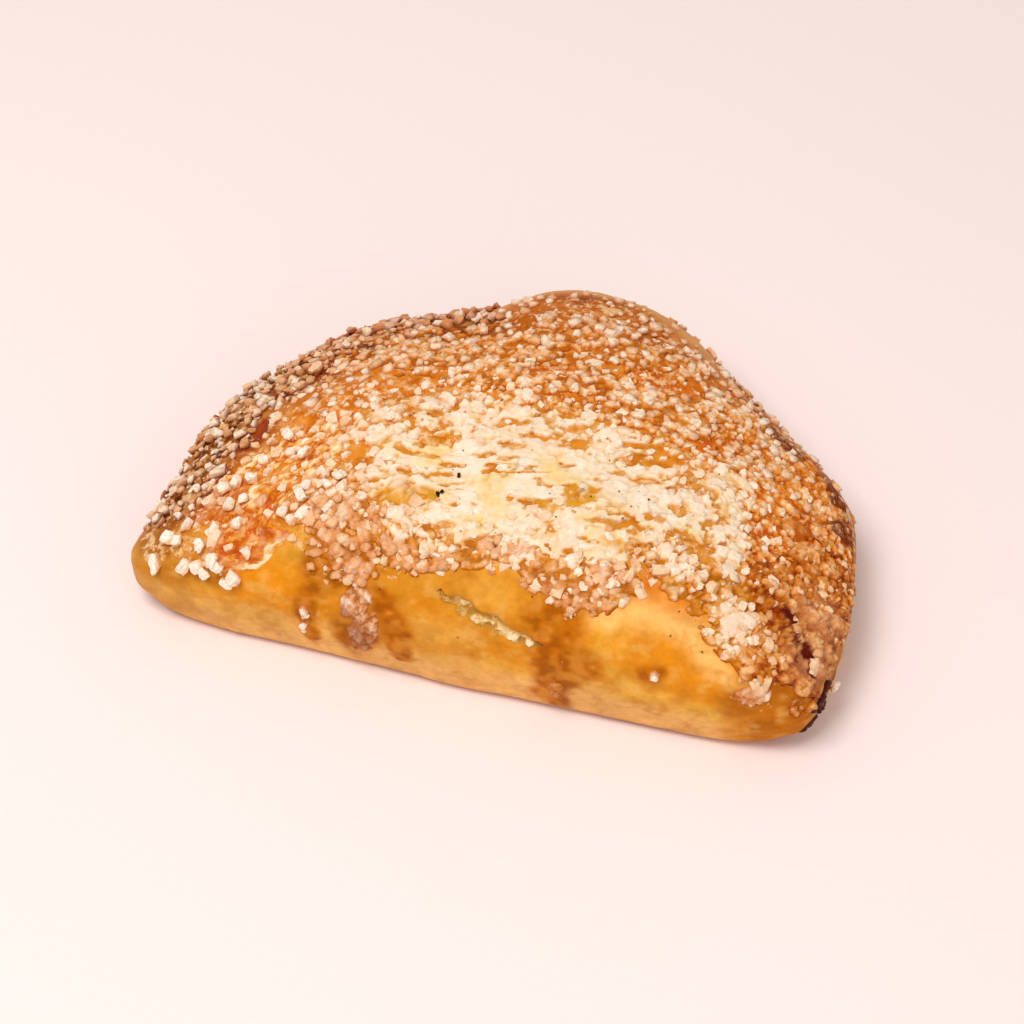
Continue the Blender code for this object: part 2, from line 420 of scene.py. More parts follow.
# the sugar's front edge along the top of the fold, as x and y
sugarEdge = (
    (-66, -43.6), (-50, -44.2), (-44, -45.0), (-39, -38.0), (-33, -40.5), (-29, -43.0), (-20, -43.8),
    (-10, -41.6), (0, -39.2), (8, -38.6), (15, -41.2), (25, -41.8), (30, -37.0), (36, -35.6), (40, -36.8),
    (43, -38.8), (46.5, -41.0), (50.5, -42.4), (55, -43.6), (60, -44.0), (66, -41.5),
)


def sugarArea(points):
    # 1 where sugar lies: behind its front edge and above a lowest height, which is higher behind
    x, y, z = points.T
    edgeX, edgeY = np.array(sugarEdge, float).T
    behind = ramp(-0.7, 0.7, y - np.interp(x, edgeX, edgeY) + 1.2 * noise(points, 3.2, 61))
    lowest = 13.0 + 12.0 * ramp(12.0, 20.0, y) * ramp(-36.0, -22.0, x) * ramp(36.0, 24.0, x)
    return behind * ramp(-1.0, 1.0, z - lowest + 1.6 * noise(points, 4.0, 62))


def tearShape(points):
    # a ragged slanting lens on the fold's face: 1 along its spine, 0 outside
    x, z = points[:, 0], points[:, 2]
    along = (x - 5.0) / 10.5
    spine = 21.2 - 3.6 * along + 1.0 * noise(points, 3.4, 71) + 0.5 * noise(points, 1.2, 72)
    halfWide = (1.9 + 0.5 * along) * np.clip(1.0 - along**2, 0.0, 1.0) ** 0.8 + 0.001
    return ramp(1.0, 0.45, np.abs(z - spine) / halfWide) * (np.abs(along) < 1.0) * (points[:, 1] < -38.0)


def runShape(points):
    # 1 in the middle of a caramel run on the fold's face, fading to 0 at its soft border
    wx, wz = warped(points, 3.4, 1.5, 401).T[::2]
    ragged = 0.14 * layered(points, 2.0, 403, 3)
    return ramp(0.24, 0.70, zone(wx, wz, "runs") + ragged) * ramp(-38.5, -41.5, points[:, 1])


def crustRelief(points):
    # height of the crust over the plain skin: soft lumps, flaky steps, seam layers and the tear
    x, y, z = points.T
    angle = foldAngle(points)
    face = ramp(-40.0, -44.0, y)
    under = ramp(3.0, 0.6, z)
    height = 0.34 * layered(points, 9.0, 3) + 0.16 * layered(points, 3.2, 5, 2) * (1.0 - 0.5 * face)
    # flaky steps: a slope of noise cut into terraces, strongest at the ends
    flaky = np.maximum(zone(x, y, "flakyEnds"), 0.35 * (1.0 - face))
    slope = 3.0 * layered(points * (0.8, 1.0, 1.6), 11.0, 11, 2) + 0.08 * y
    step = np.floor(slope) + ramp(0.72, 1.0, slope - np.floor(slope))
    height += 0.42 * flaky * (step - slope)
    # layers of dough round the sealed edge
    edge = ramp(16.0, 9.0, z) * ramp(118.0, 100.0, np.abs(angle - 90.0))
    wavy = z + 0.7 * noise(points, 14.0, 21) + 0.25 * noise(points, 5.0, 22)
    height += 0.16 * edge * np.sin(2.0 * math.pi * wavy / 1.9)
    # the rounded bulge in the middle of the back
    height += 1.5 * bell(x - 1.0, 12.0) * bell(y - 38.0, 6.0)
    # the tear, the lifted skin over it, caramel runs, and a blister with a grain in it
    height -= 1.1 * tearShape(points)
    height += 0.6 * bell(z - (24.3 - 0.34 * (x - 5.5)), 0.9) * bell(x - 5.5, 6.0) * face
    height += runShape(points) * (0.30 + 0.20 * layered(points * (1.2, 1.0, 0.5), 2.4, 405, 3))
    height += 0.9 * np.exp(-((x - 36.4) ** 2 + (z - 17.4) ** 2) / 3.0) * face
    # dried creases of the glaze, and folds of skin between the tear and the run
    height -= 0.10 * bell(layered(points * (0.8, 1.0, 1.2), 5.5, 57, 3), 0.05) * face
    height += 0.35 * bell(x - 11.5 - 0.35 * (z - 24.0), 0.9) * bell(z - 23.5, 3.0) * face
    return height * (1.0 - under) + 1.2 * ramp(4.5, 1.5, z) * ramp(-36.0, -40.0, y)


def crustColour(points):
    # the golden crust and the glazed wall of the fold, blended over 4 mm at the fold's upper edge
    x, y, z = points.T
    wx, wy, wz = warped(warped(points, 5.0, 1.6, 41), 1.7, 0.7, 44).T
    angle = foldAngle(points)
    cloud = layered(points, 12.0, 51, 4)
    fine = layered(points, 3.0, 52, 3)
    face = ramp(-35.5, -39.5, y)
    speckle = layered(points, 1.9, 56, 2)
    colour = np.tile(linear("#DF7A12"), (len(points), 1))
    colour = tintedInTurn(colour, [
        ("#C86006", ramp(0.0, 0.5, cloud) * 0.8),
        ("#EE9A36", ramp(0.05, 0.5, -cloud) * 0.8),
        ("#DA8C28", ramp(0.3, 0.7, zone(x, y, "melted")) * 0.8),
        # behind and at both ends the crust is browner
        ("#C4681C", ramp(8.0, 24.0, y) * 0.75),
        ("#B04E10", ramp(44.0, 58.0, x) * 0.85),
        ("#6E2800", zone(wx, wy, "brownEnds") * 1.5),
        ("#98381A", zone(wx, wy, "redBrown") * 1.4),
        ("#D25A08", zone(wx, wy, "bareOrange") * 0.9),
        ("#F2AA5A", ramp(0.1, 0.5, speckle) * 0.5),
        ("#B45008", ramp(0.1, 0.5, -speckle) * 0.5),
        ("#7A2606", zone(wx, wy, "scorched") * (0.9 + 1.6 * speckle)),
        ("#DE9A26", zone(wx, wy, "green") * (1.2 + fine + speckle)),
    ])
    # the smooth glazed face of the fold: tan at the foot, lightened as painted light where the face turns
    # under and gets less light, amber above, cream under the sugar's edge with a painted highlight on it
    blot = layered(points * (1.0, 1.0, 1.3), 7.0, 53, 4)
    spot = layered(points, 2.4, 55, 3)
    crease = (bell(layered(points * (0.8, 1.0, 1.2), 5.5, 57, 3), 0.035)
              * ramp(-0.2, 0.3, noise(points, 7.0, 58)))
    wall = np.tile(linear("#DC8E22"), (len(points), 1))
    wall = tintedInTurn(wall, [
        ("#E8AC42", ramp(0.02, 0.30, blot) * 0.75),
        ("#D27E08", ramp(0.02, 0.30, -blot) * 0.75),
        # the tan foot band is lightened as painted light against the shade where the face turns under
        ("#E8B06A", ramp(12.5, 7.5, wz + 4.0 * blot) * ramp(56.0, 46.0, wx) * 0.9),
        ("#E88E12", zone(wx, wz, "wallAmber") * 0.9),
        ("#BE6602", ramp(48.0, 58.0, wx + 3.0 * blot) * 0.85),
        ("#CC8C38", ramp(-47.0, -58.0, wx) * 0.7),
        ("#B06A10", zone(wx, wz, "wallBrown") * 0.8),
        # cream of thin glaze with a painted highlight on it
        ("#FFBC66", zone(wx, wz, "wallCreamHighlight") * 1.4),
        ("#A45202", zone(wx, wz, "wallScorch") * 0.75),
        # painted broad soft reflection on the glaze
        ("#E6AA4A", zone(wx, wz, "wallPaintedSheen") * 0.7),
        ("#E9A23A", zone(wx, wz, "wallGlow")),
        ("#F2BE66", ramp(0.10, 0.5, spot) * 0.35),
        ("#BE7210", ramp(0.10, 0.5, -spot) * 0.35),
        ("#C07414", crease * 0.35),
    ])
    run = runShape(points)
    frothy = layered(points, 2.0, 54, 2)
    wall = tintedInTurn(wall, [
        ("#BC6604", run * (0.85 + 0.6 * fine)),
        ("#944A04", run * ramp(0.05, 0.3, frothy) * 0.6),
        ("#DC9038", run * ramp(0.08, 0.4, -frothy) * 0.6),
        # darker olive tan in the tear: painted shade in the hollow under the lifted skin
        ("#C08A3C", ramp(0.15, 0.6, tearShape(points))),
    ])
    colour = colour + (wall - colour) * face[:, None]
    colour = tintedInTurn(colour, [
        ("#A4601C", ramp(0.3, 0.7, zone(wx, wy, "leftBrown") + 0.3 * frothy) * 0.8),
        ("#F6C884", zone(wx, wy, "leftPale") * 0.6),
    ])
    # bare dough round the curved side, a pale lower layer, and the underside
    side = ramp(17.0, 12.0, z + 1.5 * cloud) * (1.0 - face)
    colour = tintedInTurn(colour, [
        ("#C87A30", side * 0.9),
        ("#E09A4C", ramp(26.5, 23.0, z) * bell(angle - 84.0, 20.0) * (1.0 - side) * 1.3),
        ("#A0561E", side * bell(z - form["seamHeight"] - 0.4 * cloud, 1.3) * 0.9),
        ("#E4BB88", (1.0 - face) * ramp(8.2, 6.6, z) * ramp(1.2, 3.2, z) * 0.85),
    ])
    layer = noise(points * (0.12, 0.12, 1.0), 0.8, 63)
    colour = tinted(colour, "#EEC890", side * ramp(0.2, 0.8, layer) * 0.35)
    under = ramp(2.6, 0.7, z)
    colour = tintedInTurn(colour, [
        ("#C6893F", under),
        ("#9A5A22", under * ramp(-0.1, 0.6, layered(points, 16.0, 81, 4)) * 0.8),
        ("#E2B26A", under * ramp(0.25, 0.7, layered(points, 7.0, 82, 3)) * 0.6),
    ])
    colour *= (1.0 + 0.14 * fine + 0.08 * cloud)[:, None]
    return np.clip(colour, 0.0, 1.0)


def makePiece(name, points, quads, material, colour, grit=0.0, smooth=True):
    # points in millimetres, quads as rows of vertex numbers, colour as linear rows, grit as the share of
    # the surface that fine grains cover; points stay between the floor and a little over the solid's top
    points = points.copy()
    points[:, 2] = np.clip(points[:, 2], 0.0, nodeHigh[2] + roomAbove)
    mesh = bpy.data.meshes.new(name)
    mesh.vertices.add(len(points))
    mesh.vertices.foreach_set("co", (points * mm).astype(np.float32).ravel())
    mesh.loops.add(quads.size)
    mesh.loops.foreach_set("vertex_index", quads.astype(np.int32).ravel())
    mesh.polygons.add(len(quads))
    mesh.polygons.foreach_set("loop_start", np.arange(0, quads.size, 4, dtype=np.int32))
    mesh.polygons.foreach_set("use_smooth", np.full(len(quads), smooth))
    layer = mesh.attributes.new("tint", "FLOAT_COLOR", "POINT")
    layer.data.foreach_set("color",
                           np.column_stack((colour, np.ones(len(colour)))).astype(np.float32).ravel())
    layer = mesh.attributes.new("grit", "FLOAT", "POINT")
    layer.data.foreach_set("value", (np.zeros(len(points)) + grit).astype(np.float32))
    mesh.update(calc_edges=True)
    mesh.validate()
    mesh.materials.append(material)
    piece = bpy.data.objects.new(name, mesh)
    bpy.context.scene.collection.objects.link(piece)
    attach(piece, "root")
    print("made", name, len(quads) * 2, "triangles")
    return piece


def newMaterial(name):
    # a material with nodes, its node tree and its shader
    material = bpy.data.materials.new(name)
    material.use_nodes = True
    tree = material.node_tree
    return material, tree, tree.nodes["Principled BSDF"]


def add(tree, kind, settings=None, links=None, inputs=None):
    # adds a node, sets its properties and input values, and links other nodes' outputs into it
    node = tree.nodes.new(kind)
    for key, value in (settings or {}).items():
        setattr(node, key, value)
    for key, value in (inputs or {}).items():
        node.inputs[key].default_value = value
    for key, source in (links or {}).items():
        tree.links.new(source, node.inputs[key])
    return node


def mottled(name, look, extra):
    # a baked or sugary surface: the piece's own tint, varied in brightness by noise, with pale flecks and
    # painted shade in dark pits too small to model (high and low places of a rough noise, more of them
    # where grit is high) and a bump
    material, tree, shader = newMaterial(name)

    # a noise texture by its size, a math node's result, a mapped range, and a mix with a hex colour
    def speckled(sizeMm, detail, roughness):
        return add(tree, "ShaderNodeTexNoise", None, {"Vector": place}, {
            "Scale": 1.0 / (sizeMm * mm), "Detail": detail, "Roughness": roughness}).outputs["Fac"]

    def reckoned(operation, links, inputs=None):
        return add(tree, "ShaderNodeMath", {"operation": operation}, links, inputs).outputs["Value"]

    def spanned(links, inputs=None):
        return add(tree, "ShaderNodeMapRange", None, links, inputs).outputs["Result"]

    def blended(factor, colour, code):
        return add(tree, "ShaderNodeMix", {"data_type": "RGBA"}, {"Factor": factor, 6: colour},
                   {7: (*linear(code), 1.0)}).outputs[2]

    place = add(tree, "ShaderNodeTexCoord").outputs["Object"]
    own = add(tree, "ShaderNodeAttribute", {"attribute_name": "tint"}).outputs["Color"]
    share = add(tree, "ShaderNodeAttribute", {"attribute_name": "grit"}).outputs["Fac"]
    grain = speckled(look["grainMm"], 4.0, 0.6)
    fleck = speckled(look["gritMm"], 5.0, 0.7)
    least = reckoned("MULTIPLY_ADD", {0: share}, {1: -0.24, 2: 0.70})
    most = reckoned("ADD", {0: least}, {1: 0.10})
    solid = spanned({"Value": fleck, "From Min": least, "From Max": most})
    amount = reckoned("MULTIPLY", {0: solid}, {1: look["gritStrength"]})
    # the pits' darkness is painted shade in the pit shade colour, scaled by grit
    pit = spanned({"Value": fleck}, {"From Min": 0.44, "From Max": 0.30})
    deep = reckoned("MULTIPLY", {0: pit, 1: share})
    shade = blended(amount, blended(deep, own, look["pitShadeColour"]), look["gritColour"])
    bright = spanned({"Value": grain}, {"From Min": 0.3, "From Max": 0.7,
                                        "To Min": 1.0 - look["spread"], "To Max": 1.0 + look["spread"]})
    final = add(tree, "ShaderNodeVectorMath", {"operation": "SCALE"}, {0: shade, "Scale": bright})
    tree.links.new(final.outputs["Vector"], shader.inputs["Base Color"])
    height = reckoned("MULTIPLY_ADD", {0: solid, 2: grain}, {1: look["gritHeight"]})
    bump = add(tree, "ShaderNodeBump", None, {"Height": height},
               {"Strength": 1.0, "Distance": look["depthMm"] * mm})
    tree.links.new(bump.outputs["Normal"], shader.inputs["Normal"])
    for key, value in extra.items():
        shader.inputs[key].default_value = value
    return material


# each finish's pit shade colour is painted shade for pits too small to model
# egg-washed puff pastry: matt crumb under a thin satin glaze
pastryFinish = mottled("bakedPuffPastry", {
    "grainMm": 1.1, "depthMm": 0.08, "spread": 0.08,
    "gritMm": 1.7, "gritColour": "#F6C48C", "gritStrength": 0.85, "gritHeight": 0.8, "pitShadeColour": "#A8500C",
}, {
    "Roughness": 0.42, "Specular IOR Level": 0.05,
    "Subsurface Weight": 0.06, "Subsurface Radius": (1.0, 0.45, 0.2), "Subsurface Scale": 1.2 * mm,
})
# pearl sugar: crushed white grains pressed into hard crumbs that let light in, so their edges glow
sugarFinish = mottled("pearlSugar", {
    "grainMm": 0.6, "depthMm": 0.13, "spread": 0.14,
    "gritMm": 1.0, "gritColour": "#FFEEDA", "gritStrength": 0.85, "gritHeight": 0.9, "pitShadeColour": "#B85E14",
}, {
    "Roughness": 0.4, "Specular IOR Level": 0.07,
    "Subsurface Weight": 0.25, "Subsurface Radius": (1.0, 0.7, 0.4), "Subsurface Scale": 0.5 * mm,
})
# sugar that melted and set again: smoother and a little glossier than the grains
meltFinish = mottled("meltedSugar", {
    "grainMm": 0.8, "depthMm": 0.08, "spread": 0.06,
    "gritMm": 1.5, "gritColour": "#FFF6E6", "gritStrength": 0.8, "gritHeight": 0.6, "pitShadeColour": "#E0A050",
}, {
    "Roughness": 0.36, "Specular IOR Level": 0.10,
    "Subsurface Weight": 0.2, "Subsurface Radius": (1.0, 0.65, 0.35), "Subsurface Scale": 0.7 * mm,
})
# sugar cooked to caramel: dark amber, glassy where it ran
caramelFinish = mottled("caramelGlaze", {
    "grainMm": 0.8, "depthMm": 0.12, "spread": 0.14,
    "gritMm": 1.5, "gritColour": "#EFB27C", "gritStrength": 0.8, "gritHeight": 0.9, "pitShadeColour": "#7A2606",
}, {
    "Roughness": 0.3, "Specular IOR Level": 0.06, "Coat Weight": 0.04, "Coat Roughness": 0.12,
})


def makeCrust():
    # the cover carried to the skin, then moved along its normals by the relief less the inset
    lattice, quads = boxCover(form["grid"])
    points = skin(*lattice.T)
    normals = vertexNormals(points, quads)
    raised = crustRelief(points) - form["inset"] * ramp(0.6, 3.0, points[:, 2])
    moved = points + normals * raised[:, None]
    grit = sugarArea(points) * (0.45 + 0.5 * ramp(-0.5, 0.3, layered(points, 4.0, 64, 2)))
    piece = makePiece("crust", moved, quads, pastryFinish, crustColour(points), grit)
    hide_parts("turnover")
    return np.maximum(moved, (-np.inf, -np.inf, 0.0)), normals, quads


crustPoints, crustNormals, crustQuads = makeCrust()


def stripGrid(u, s):
    # a strip of skin that climbs the fold's face for s below 1 and goes on over the top for s above 1
    across, along = np.meshgrid(u, s, indexing="ij")
    top = along.ravel() > 1.0
    points = skin(across.ravel(), np.where(top, along.ravel() - 2.0, -1.0),
                  np.where(top, 1.0, along.ravel()))
    return points.reshape(across.shape + (3,))


def stripNormals(grid):
    # the cross product of the two directions along the grid, brought to length 1
    cross = np.cross(np.gradient(grid, axis=0), np.gradient(grid, axis=1)).reshape(-1, 3)
    return cross / np.maximum(np.linalg.norm(cross, axis=1), 1e-9)[:, None]


shell = {
    "least": -0.12,       # there is no shell where its height is under this
    "lowest": -0.22,      # its edge goes down to this
    "sunk": 0.30,         # depth of its underside in the crust
    "coarse": 180,        # points a side of the coarse grid that finds where it lies
    "climb": 0.98,        # how far the strip of skin goes: 1 would be the very foot and the very back
}


def shellPiece(name, height, spacing, material, slot, reach):
    # a crust of its own laid on the crust: height(points) gives millimetres over it, colour and grit; where
    # the height is under the least, there is no shell. The top, the sunk underside and the walls between
    # close it
    least, coarseSide = shell["least"], shell["coarse"]
    u = np.linspace(-reach, reach, coarseSide)
    s = np.linspace(-shell["climb"], 2.0 + shell["climb"], coarseSide)
    coarse = stripGrid(u, s)
    inside = height(coarse.reshape(-1, 3))[0].reshape(coarseSide, coarseSide) > least
    rows, columns = np.nonzero(inside)
    r0, r1 = max(rows.min() - 2, 0), min(rows.max() + 2, coarseSide - 1)
    c0, c1 = max(columns.min() - 2, 0), min(columns.max() + 2, coarseSide - 1)
    middleRow, middleColumn = int(np.median(rows)), int(np.median(columns))
    wide = np.linalg.norm(np.diff(coarse[r0:r1 + 1, middleColumn], axis=0), axis=1).sum()
    tall = np.linalg.norm(np.diff(coarse[middleRow, c0:c1 + 1], axis=0), axis=1).sum()
    grid = stripGrid(np.linspace(u[r0], u[r1], int(wide / spacing) + 2),
                     np.linspace(s[c0], s[c1], int(tall / spacing) + 2))
    shape = grid.shape[:2]
    points, normals = grid.reshape(-1, 3), stripNormals(grid)
    # the height is worked out only close to where the coarse grid found some
    for again in range(3):
        inside[1:] |= inside[:-1]
        inside[:-1] |= inside[1:]
        inside[:, 1:] |= inside[:, :-1]
        inside[:, :-1] |= inside[:, 1:]
    nearU = np.rint(np.linspace(r0, r1, shape[0])).astype(int)
    nearS = np.rint(np.linspace(c0, c1, shape[1])).astype(int)
    close = inside[np.ix_(nearU, nearS)].ravel()
    up, grit = np.full(len(points), shell["lowest"]), np.zeros(len(points))
    colour = np.zeros((len(points), 3))
    up[close], colour[close], grit[close] = height(points[close])
    tall = up.reshape(shape) > least
    keep = tall[:-1, :-1] | tall[1:, :-1] | tall[1:, 1:] | tall[:-1, 1:]
    for again in range(3):
        # two cells that touch only at a corner get both their neighbours: no edge is shared by four faces
        slash = keep[:-1, :-1] & keep[1:, 1:] & ~keep[1:, :-1] & ~keep[:-1, 1:]
        back = keep[1:, :-1] & keep[:-1, 1:] & ~keep[:-1, :-1] & ~keep[1:, 1:]
        both = slash | back
        for a, b in ((0, 0), (0, 1), (1, 0), (1, 1)):
            keep[a:a + both.shape[0], b:b + both.shape[1]] |= both
    number = np.arange(len(points)).reshape(shape)
    ring = np.stack((number[:-1, :-1], number[1:, :-1], number[1:, 1:], number[:-1, 1:]), axis=-1)
    count = number.size
    topQuads = ring[keep]
    quads = [topQuads, topQuads[:, ::-1] + count]
    framed = np.pad(keep, 1)
    for (dr, dc), (a, b) in zip(((0, -1), (1, 0), (0, 1), (-1, 0)), ((0, 1), (1, 2), (2, 3), (3, 0))):
        lone = keep & ~framed[1 + dr:1 + dr + keep.shape[0], 1 + dc:1 + dc + keep.shape[1]]
        start, end = ring[lone][:, a], ring[lone][:, b]
        quads.append(np.column_stack((end, start, start + count, end + count)))
    quads = np.concatenate(quads)
    used, place = np.unique(quads, return_inverse=True)
    under = np.unique(used % count)
    base = np.zeros(len(points))
    base[under] = crustRelief(points[under]) - form["inset"]
    top = points + normals * (base + np.maximum(up, shell["lowest"]))[:, None]
    bottom = points + normals * (base - shell["sunk"])[:, None]
    everyPoint = np.concatenate((top, bottom))
    everyColour = np.concatenate((colour, colour))
    everyGrit = np.concatenate((grit, grit * 0.0))
    return makePiece(name, everyPoint[used], place.reshape(quads.shape), material, everyColour[used],
                     everyGrit[used])


def meltedHeight(points):
    # icing-like film of uneven thickness with crystals half melted into it, pits, cracks and bare gaps
    x, y, z = points.T
    wx, wy = warped(warped(points, 6.0, 1.6, 101), 1.6, 1.0, 107).T[:2]
    cover = zone(wx, wy, "melted")
    gap = zone(wx, wy, "gaps")
    green = zone(wx, wy, "green")
    thick = layered(points, 4.4, 111, 4)
    smooth = ramp(0.25, 0.8, zone(wx, wy, "smooth") + 0.6 * layered(points, 5.0, 113, 2))
    level = np.column_stack((0.5 * (0.96 * x + 0.28 * y), 1.25 * (0.96 * y - 0.28 * x), z))
    chunky = np.maximum(ramp(22.0, 34.0, x - 0.3 * (y + 15.0)), 0.9 * zone(wx, wy, "pebbled"))
    chunky = np.maximum(chunky, 0.8 * zone(wx, wy, "pebbledFront"))
    hole = layered(level, 1.9, 115, 3) * (1.0 - chunky) + (layered(points, 2.6, 116, 3) + 0.15) * chunky
    hole = hole + 0.3 * noise(points, 8.0, 118)
    dome, owner = lumps(warped(points, 1.3, 0.25, 131), 2.0, 121, 0.60, 6.0, 0.12, 0.8)
    crumbs, crumbOwner = lumps(points, 0.9, 127, 0.62, 4.0, 0.15, 0.8)
    level = ramp(0.34, 0.62, cover + 0.22 * (dome - 0.5) + 0.16 * thick)
    level = np.minimum(level, 1.0 - ramp(0.30, 0.66, gap))
    level = np.minimum(level, 1.0 - ramp(0.20, 0.38, hole - 0.16 * (dome - 0.4) - 0.12 * smooth))
    level = (np.minimum(level, 1.0 - ramp(0.35, 0.7, green) * ramp(-0.1, 0.2, layered(points, 1.8, 119, 2)))
             * sugarArea(points))
    body = 0.22 + 0.14 * thick + (0.50 - 0.34 * smooth + 0.25 * chunky) * dome
    body = body + (0.18 - 0.08 * smooth) * crumbs
    height = level * body - 0.14 * (1.0 - level)
    pale = (height + 0.50 * thick + 0.16 * owner * (1.0 - 0.6 * smooth) + 0.10 * crumbOwner + 0.22 * smooth
            - 0.5 * (1.0 - level))
    colour = scale(("#CE8A30", "#E2A252", "#F3C48A", "#F9D8B0", "#FDE6CC"), (-0.30, 0.0, 0.24, 0.50, 0.85),
                   pale)
    colour = tintedInTurn(colour, [
        ("#F6BE94", ramp(0.1, 0.9, owner) * 0.4 * (1.0 - smooth)),
        ("#F6D58A", smooth * ramp(-0.1, 0.4, -thick) * 0.6),
    ])
    grainy = layered(points, 1.1, 137, 3)
    colour = tinted(colour, "#E4A038", ramp(0.15, 0.7, green) * (0.70 + 0.4 * thick + 0.8 * grainy))
    crack = (bell(noise(points * (0.7, 1.5, 1.0), 3.0, 135), 0.035)
             * ramp(-0.2, 0.4, noise(points, 5.0, 136)))
    colour = tinted(colour, "#A87430", crack * 0.5)
    return height, colour, 0.35 * level


def bakedSugar(points, cover, size, seed, missing, codes, tall):
    # crystals half sunk in glaze: domes standing on a film, brown glaze in the valleys darkened further as
    # painted shade, and pale on top
    dome, owner = lumps(warped(points, 1.4, 0.3, seed + 50), size, seed, 0.56, 6.0, missing, 0.8)
    crumbs, crumbOwner = lumps(points, size * 0.48, seed + 20, 0.62, 4.0, 0.2, 0.8, 1.8)
    ragged = layered(points, 3.0, seed + 30, 3)
    level = ramp(0.30, 0.56, cover + 0.30 * (dome - 0.45) + 0.22 * ragged) * sugarArea(points)
    body = 0.04 + tall * dome + 0.34 * tall * crumbs * (1.0 - 0.4 * dome)
    height = level * body - 0.15 * (1.0 - level)
    pale = height / tall + 0.30 * owner * (dome > 0.0) + 0.20 * crumbOwner + 0.25 * ragged
    pale = pale - 0.4 * (1.0 - level)
    # the low end of the codes is partly the brown glaze and partly painted shade in the valleys
    colour = scale(codes, (-0.1, 0.35, 0.72, 1.08, 1.45), pale)
    return height, colour, 0.5 * level


def backClusters(points):
    # the share of sugar behind the sheet, which lies in clusters some 8 mm wide
    return 0.45 + 0.55 * ramp(-0.34, 0.06, layered(points, 8.0, 157, 3))


def backHeight(points):
    # toasted sugar behind the sheet, in clusters; browner behind and at the left, scorched in places
    x, y = points.T[:2]
    wx, wy = warped(points, 5.0, 2.0, 151).T[:2]
    cover = ramp(-3.0, 6.0, y + 0.10 * (x + 10.0)) * ramp(54.0, 44.0, x) * ramp(-48.0, -38.0, x)
    cover = cover * (1.0 - 0.9 * zone(wx, wy, "bald")) * backClusters(points)
    height, colour, grit = bakedSugar(points, 0.80 * cover, 1.7, 155, 0.25,
                                      ("#A84A04", "#CE700E", "#E6943E", "#F6BC86", "#FFE2C2"), 0.62)
    colour = tintedInTurn(colour, [
        ("#FDE2C4", ramp(0.45, 0.9, height) * ramp(14.0, 2.0, y) * 0.5),
        ("#7E3000", ramp(0.25, 0.6, zone(wx, wy, "scorched")) * ramp(1.0, 0.4, height) * 0.8),
        ("#A85A30", ramp(16.0, 32.0, y) * 0.4),
        ("#A4480A", ramp(-22.0, -40.0, x) * ramp(4.0, 14.0, y) * 0.45),
    ])
    return height, colour, grit


def slopeHeight(points):
    # finer toasted sugar on the slope down to the right end
    x, y = points.T[:2]
    cover = ramp(38.0, 47.0, x + 0.35 * (y + 10.0)) * ramp(-30.0, -24.0, y) * ramp(26.0, 18.0, y)
    wx, wy = warped(points, 5.0, 2.0, 161).T[:2]
    cover = cover * (1.0 - 0.8 * zone(wx, wy, "bald"))
    height, colour, grit = bakedSugar(points, 0.72 * cover, 1.3, 165, 0.3,
                                      ("#AA4400", "#CE6606", "#E88C2C", "#F6AE6A", "#FFD8A8"), 0.50)
    scorch = ramp(0.25, 0.6, zone(wx, wy, "scorched")) * ramp(0.9, 0.3, height) * 0.9
    colour = tinted(colour, "#742600", scorch)
    return height, colour, grit


def rimHeight(points):
    # dark caramelised bed under the piled crystals of the left rim, darkened further as painted shade
    # between them
    return bakedSugar(points, 0.62 * rimBand(points), 1.6, 175, 0.3,
                      ("#4E1800", "#7C3200", "#A85A18", "#CC8C4A", "#E8B686"), 0.5)


def clumpHeight(points):
    # pinkish clumps, and grains stuck in amber glaze between them, along the top of the fold
    wx, wy = warped(points, 4.0, 1.8, 201).T[:2]
    broken = 0.25 * ramp(0.0, 0.4, layered(points, 4.0, 209, 3))
    cover = np.maximum(zone(wx, wy, "clumps"), 0.66 * ramp(0.2, 0.6, zone(wx, wy, "lower")) - broken)
    height, colour, grit = bakedSugar(points, cover, 1.8, 205, 0.25,
                                      ("#B05C02", "#C87410", "#DE9032", "#EEB278", "#FADCB8"), 0.78)
    pink = ramp(0.3, 0.7, zone(wx, wy, "clumps")) * ramp(0.1, 0.5, height) * 0.45
    colour = tinted(colour, "#E8A27C", pink)
    return height, colour, grit


def dripHeight(points):
    # sugar carried down the fold's face by the glaze: a long clump and a few crumbs
    x, y, z = points.T
    wx, wz = warped(points, 3.0, 1.0, 221).T[::2]
    face = ramp(-40.0, -43.0, y) * ramp(2.0, 4.5, z)
    cover = zone(wx, wz, "drips")
    dome, owner = lumps(warped(points, 1.2, 0.45, 231), 1.5, 225, 0.62, 6.0, 0.1, 0.9)
    crumbs, crumbOwner = lumps(points, 0.7, 235, 0.62, 5.0, 0.2, 0.8)
    rough = layered(points, 1.4, 237, 3)
    level = ramp(0.34, 0.56, cover + 0.20 * (dome - 0.5) + 0.2 * rough) * face
    height = level * (0.10 + 0.50 * dome + 0.30 * crumbs + 0.25 * rough) - 0.15 * (1.0 - level)
    colour = scale(("#A85806", "#C8783A", "#DC9C68", "#EFC09C", "#FFE0C6"), (-0.1, 0.2, 0.5, 0.8, 1.1),
                   height + 0.26 * owner + 0.16 * crumbOwner)
    low = ramp(16.0, 11.0, z + 0.8 * (x + 18.0)) * ramp(-26.0, -23.0, x) * ramp(0.0, -6.0, x)
    colour = tintedInTurn(colour, [
        ("#A4602E", low * 0.8),
        ("#C87420", ramp(12.0, 9.0, z) * ramp(0.0, 6.0, x) * 0.7),
    ])
    return height, colour, 0.4 * level


